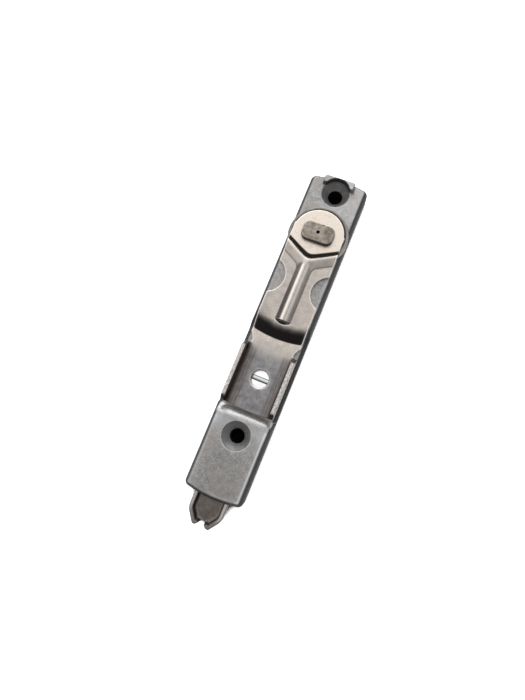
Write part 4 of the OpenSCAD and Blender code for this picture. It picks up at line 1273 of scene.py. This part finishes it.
def rivet_tree(material):
    """Geometry nodes that put one rivet with broken edges on each point."""
    tree = bpy.data.node_groups.new("rivets_on_points", "GeometryNodeTree")
    tree.interface.new_socket("Places", in_out="INPUT", socket_type="NodeSocketGeometry")
    for label, size in (("Radius", 0.9), ("Length", 3.4), ("Break", RIVET_BREAK)):
        socket = tree.interface.new_socket(label, in_out="INPUT", socket_type="NodeSocketFloat")
        socket.subtype = "DISTANCE"
        socket.default_value = size * MM
    tree.interface.new_socket("Rivets", in_out="OUTPUT", socket_type="NodeSocketGeometry")
    places, radius, size, broken = list(tree.nodes.new("NodeGroupInput").outputs)[:4]
    n = Nodes(tree)
    inner = n.math("SUBTRACT", radius, broken)
    body = n.math("SUBTRACT", size, n.times(broken, 2.0))
    upper = n.math("SUBTRACT", size, broken)
    stacked = tree.nodes.new("GeometryNodeJoinGeometry")
    for low_r, high_r, depth, start, unwanted in ((inner, radius, broken, 0.0, "Top"),
                                                  (radius, radius, body, broken, None),
                                                  (radius, inner, broken, upper, "Bottom")):
        inputs = {"Vertices": 40, "Radius Bottom": low_r, "Radius Top": high_r, "Depth": depth}
        cone = n.add("GeometryNodeMeshCone", inputs, fill_type="NGON" if unwanted else "NONE")
        part = cone["Mesh"]
        if unwanted:
            inputs = {"Geometry": part, "Selection": cone[unwanted]}
            part = n.add("GeometryNodeDeleteGeometry", inputs, domain="FACE")[0]
        lift = n.add("ShaderNodeCombineXYZ", {2: start})[0]
        part = n.add("GeometryNodeTransform", {"Geometry": part, "Translation": lift})[0]
        n.feed(stacked.inputs[0], part)
    rivet = n.add("GeometryNodeMergeByDistance", {"Geometry": stacked.outputs[0], "Distance": 1e-6})[0]
    rivets = n.add("GeometryNodeInstanceOnPoints", {"Points": places, "Instance": rivet})[0]
    rivets = n.add("GeometryNodeRealizeInstances", {0: rivets})[0]
    rivets = n.add("GeometryNodeSetMaterial", {"Geometry": rivets, "Material": material})[0]
    n.feed(tree.nodes.new("NodeGroupOutput").inputs["Rivets"], rivets)
    return tree


class EDGEBOLT_OT_rivets(bpy.types.Operator):
    """The cover's six rivets and the rack's two, one node tree for both"""
    bl_idname = "edge_bolt.rivets"
    bl_label = "Rivets"

    def execute(self, context):
        steel = plated("rivet_plating", RIVET_PLATING, 0.3)
        tree = rivet_tree(steel)
        sockets = {item.name: item.identifier for item in tree.interface.items_tree}
        for name, body in (("cover_rivets", "casing"), ("rack_rivets", "bolt_set")):
            parts = node_islands(name)
            low, high = parts[0]
            mesh = bpy.data.meshes.new(name)
            places = [tuple((a[:2] + b[:2]) / 2 * MM) + (float(a[2] + TINY / 2) * MM,) for a, b in parts]
            mesh.from_pydata(places, [], [])
            piece = new_piece(name + "_dressed", mesh)
            modifier = add_modifier(piece, "NODES", node_group=tree)
            modifier[sockets["Radius"]] = float((high[0] - low[0]) / 2) * MM
            modifier[sockets["Length"]] = float(high[2] - low[2] - TINY) * MM
            modifier[sockets["Break"]] = RIVET_BREAK * MM
            bake_modifiers(piece)
            finish_piece(piece, steel, 30)
            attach(piece, body)
            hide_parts(name)
        return {"FINISHED"}


# The pieces that keep their CAD shape
class EDGEBOLT_OT_inner(bpy.types.Operator):
    """Finishes of the gears, bushes, springs and washers inside"""
    bl_idname = "edge_bolt.inner"
    bl_label = "Inner pieces"

    def execute(self, context):
        gear = dull_steel("gear_steel", (0.30, 0.30, 0.31), (0.3, 0.45))
        spring = plated("spring_steel", (0.5, 0.5, 0.52), 0.28)
        bronze = dull_steel("oiled_bronze", (0.45, 0.28, 0.12), (0.35, 0.5), 600.0, (0.75, 0.55, 0.3))
        for names, mat, bevel in ((("pinion", "rack"), gear, 0.05),
                                  (("spring_washer", "shim_washer", "friction_spring"), spring, 0),
                                  (("spindle_bush", "tail_bush"), bronze, 0.08)):
            for name in names:
                dress_node(name, mat, bevel)
        return {"FINISHED"}


class EDGEBOLT_OT_back(bpy.types.Operator):
    """The back cover, its collar and the slotted screw"""
    bl_idname = "edge_bolt.back"
    bl_label = "Cover and screw"

    def execute(self, context):
        plating = context.scene.edge_bolt_colours.plating
        dress_node("back_cover", plated("cover_plating", (0.40, 0.405, 0.41), 0.42), 0.1)
        dress_node("cover_collar", plated("collar_plating", (0.46, 0.455, 0.45), 0.36), 0.1)
        dress_node("cover_screw", plated("slotted_plating", plating, 0.2, slotted=True), 0.1)
        return {"FINISHED"}


# The stage
FOCAL_PX = 450.0
PHOTO_W = 525.0
PHOTO_ROLL = 22.1
TILT = (-0.102, -0.152, 0.009)
OFFSET = (3.0, 16.3, -162.5)
SENSOR = 36.0
SKY_AIM = (-0.26, 0.42, 0.86)
SKY_RANGE = (0.25, 1.0, 0.18, 1.2)
SKY_COLOUR = (0.98, 0.985, 1.0)
WINDOW_PLACE = (-0.20, 0.52, 0.18)
WINDOW_SIZE = (1.0, 0.3)
WINDOW_POWER = 1.9
WINDOW_COLOUR = (0.95, 0.97, 1.0)
FLOOR_HALF = 1.5
FLOOR_BELOW = 0.0002
FLOOR_GLOW = 0.95


def aim_camera():
    """The camera at the photograph's viewing angle, from a fit to the object's own edges."""
    turn = Matrix.Identity(3)
    for angle, axis in zip(TILT, "XYZ"):
        turn = Matrix.Rotation(angle, 3, axis) @ turn
    place = Vector((0, 0, FACE_Z * MM)) - turn.transposed() @ (Vector(OFFSET) * MM)
    roll = Matrix.Rotation(math.radians(-PHOTO_ROLL), 3, "Z")
    data = bpy.data.cameras.new("photo_camera")
    data.sensor_fit = "HORIZONTAL"
    data.sensor_width = SENSOR
    data.lens = FOCAL_PX / PHOTO_W * SENSOR
    data.clip_start = 0.01
    data.clip_end = 10.0
    camera = new_piece("photo_camera", data)
    camera.matrix_world = Matrix.Translation(place) @ (roll @ turn).transposed().to_4x4()
    bpy.context.scene.camera = camera


def window_light():
    """A large soft light above the upper end, aimed at the object."""
    data = bpy.data.lights.new("window_light", "AREA")
    data.shape = "RECTANGLE"
    data.size, data.size_y = WINDOW_SIZE
    data.energy = WINDOW_POWER
    data.color = WINDOW_COLOUR
    light = new_piece("window_light", data)
    light.location = WINDOW_PLACE
    light.rotation_euler = (-Vector(WINDOW_PLACE)).to_track_quat("-Z", "Y").to_euler()


def floor_paint(base):
    """Pale matt floor, lit up to white, that stays dark only where a narrow hole shuts the light out."""
    mat, n, shader = start_material("floor_paint", 0.0, 0.9)
    shader["Specular IOR Level"].default_value = 0.1
    shade = n.add("ShaderNodeAmbientOcclusion", {"Distance": 12 * MM}, samples=16)["AO"]
    grain = n.remap(n.noise(4.0), 0.3, 0.7, 0.97, 1.0)
    tone = n.mix(n.times(n.remap(shade, 0.43, 0.52), grain), (0, 0, 0), base)
    n.feed(shader["Base Color"], tone)
    n.feed(shader["Emission Color"], tone)
    shader["Emission Strength"].default_value = FLOOR_GLOW
    return mat


def studio_world():
    """Soft light that is brightest above and behind the piece, and dim towards the viewer."""
    world = bpy.data.worlds.new("studio")
    world.use_nodes = True
    n = Nodes(world.node_tree)
    direction = n.add("ShaderNodeTexCoord")["Generated"]
    aim = n.vector_math("DOT_PRODUCT", direction, Vector(SKY_AIM).normalized())["Value"]
    back = world.node_tree.nodes["Background"].inputs
    n.feed(back["Color"], SKY_COLOUR)
    n.feed(back["Strength"], n.remap(aim, *SKY_RANGE, interpolation_type="SMOOTHSTEP"))
    return world


class EDGEBOLT_OT_stage(bpy.types.Operator):
    """Pale floor, soft studio light and the camera"""
    bl_idname = "edge_bolt.stage"
    bl_label = "Stage"

    def execute(self, context):
        aim_camera()
        window_light()
        corners = [(x * FLOOR_HALF, y * FLOOR_HALF, 0) for x, y in ((-1, -1), (1, -1), (1, 1), (-1, 1))]
        mesh = bpy.data.meshes.new("floor")
        mesh.from_pydata(corners, [], [(0, 1, 2, 3)])
        mesh.materials.append(floor_paint(context.scene.edge_bolt_colours.floor))
        floor = new_piece("floor", mesh)
        floor.location.z = -FLOOR_BELOW
        context.scene.world = studio_world()
        context.scene.view_settings.view_transform = "Standard"
        return {"FINISHED"}


class EDGEBOLT_PT_panel(bpy.types.Panel):
    """Lists the steps and the sizes"""
    bl_idname = "EDGEBOLT_PT_panel"
    bl_label = "Edge bolt"
    bl_space_type = "VIEW_3D"
    bl_region_type = "UI"
    bl_category = "Edge bolt"

    def draw(self, context):
        for step in STEPS:
            self.layout.operator(step.bl_idname)
        for label in GROUPS:
            group = getattr(context.scene, label)
            for name in group.__annotations__:
                self.layout.prop(group, name)


STEPS = (EDGEBOLT_OT_stage, EDGEBOLT_OT_casting, EDGEBOLT_OT_lever, EDGEBOLT_OT_spindle,
         EDGEBOLT_OT_bolt, EDGEBOLT_OT_rivets, EDGEBOLT_OT_inner, EDGEBOLT_OT_back)
GROUPS = {"edge_bolt_sheet": SheetSizes, "edge_bolt_casting": CastingSizes,
          "edge_bolt_colours": FinishColours}
CLASSES = (*GROUPS.values(), *STEPS, EDGEBOLT_PT_panel)


def register():
    for item in CLASSES:
        bpy.utils.register_class(item)
    for label, group in GROUPS.items():
        setattr(bpy.types.Scene, label, PointerProperty(type=group))


def unregister():
    for label in GROUPS:
        delattr(bpy.types.Scene, label)
    for item in reversed(CLASSES):
        bpy.utils.unregister_class(item)


def main():
    register()
    for step in STEPS:
        group, name = step.bl_idname.split(".")
        getattr(getattr(bpy.ops, group), name)()


if __name__ == "__main__":
    main()
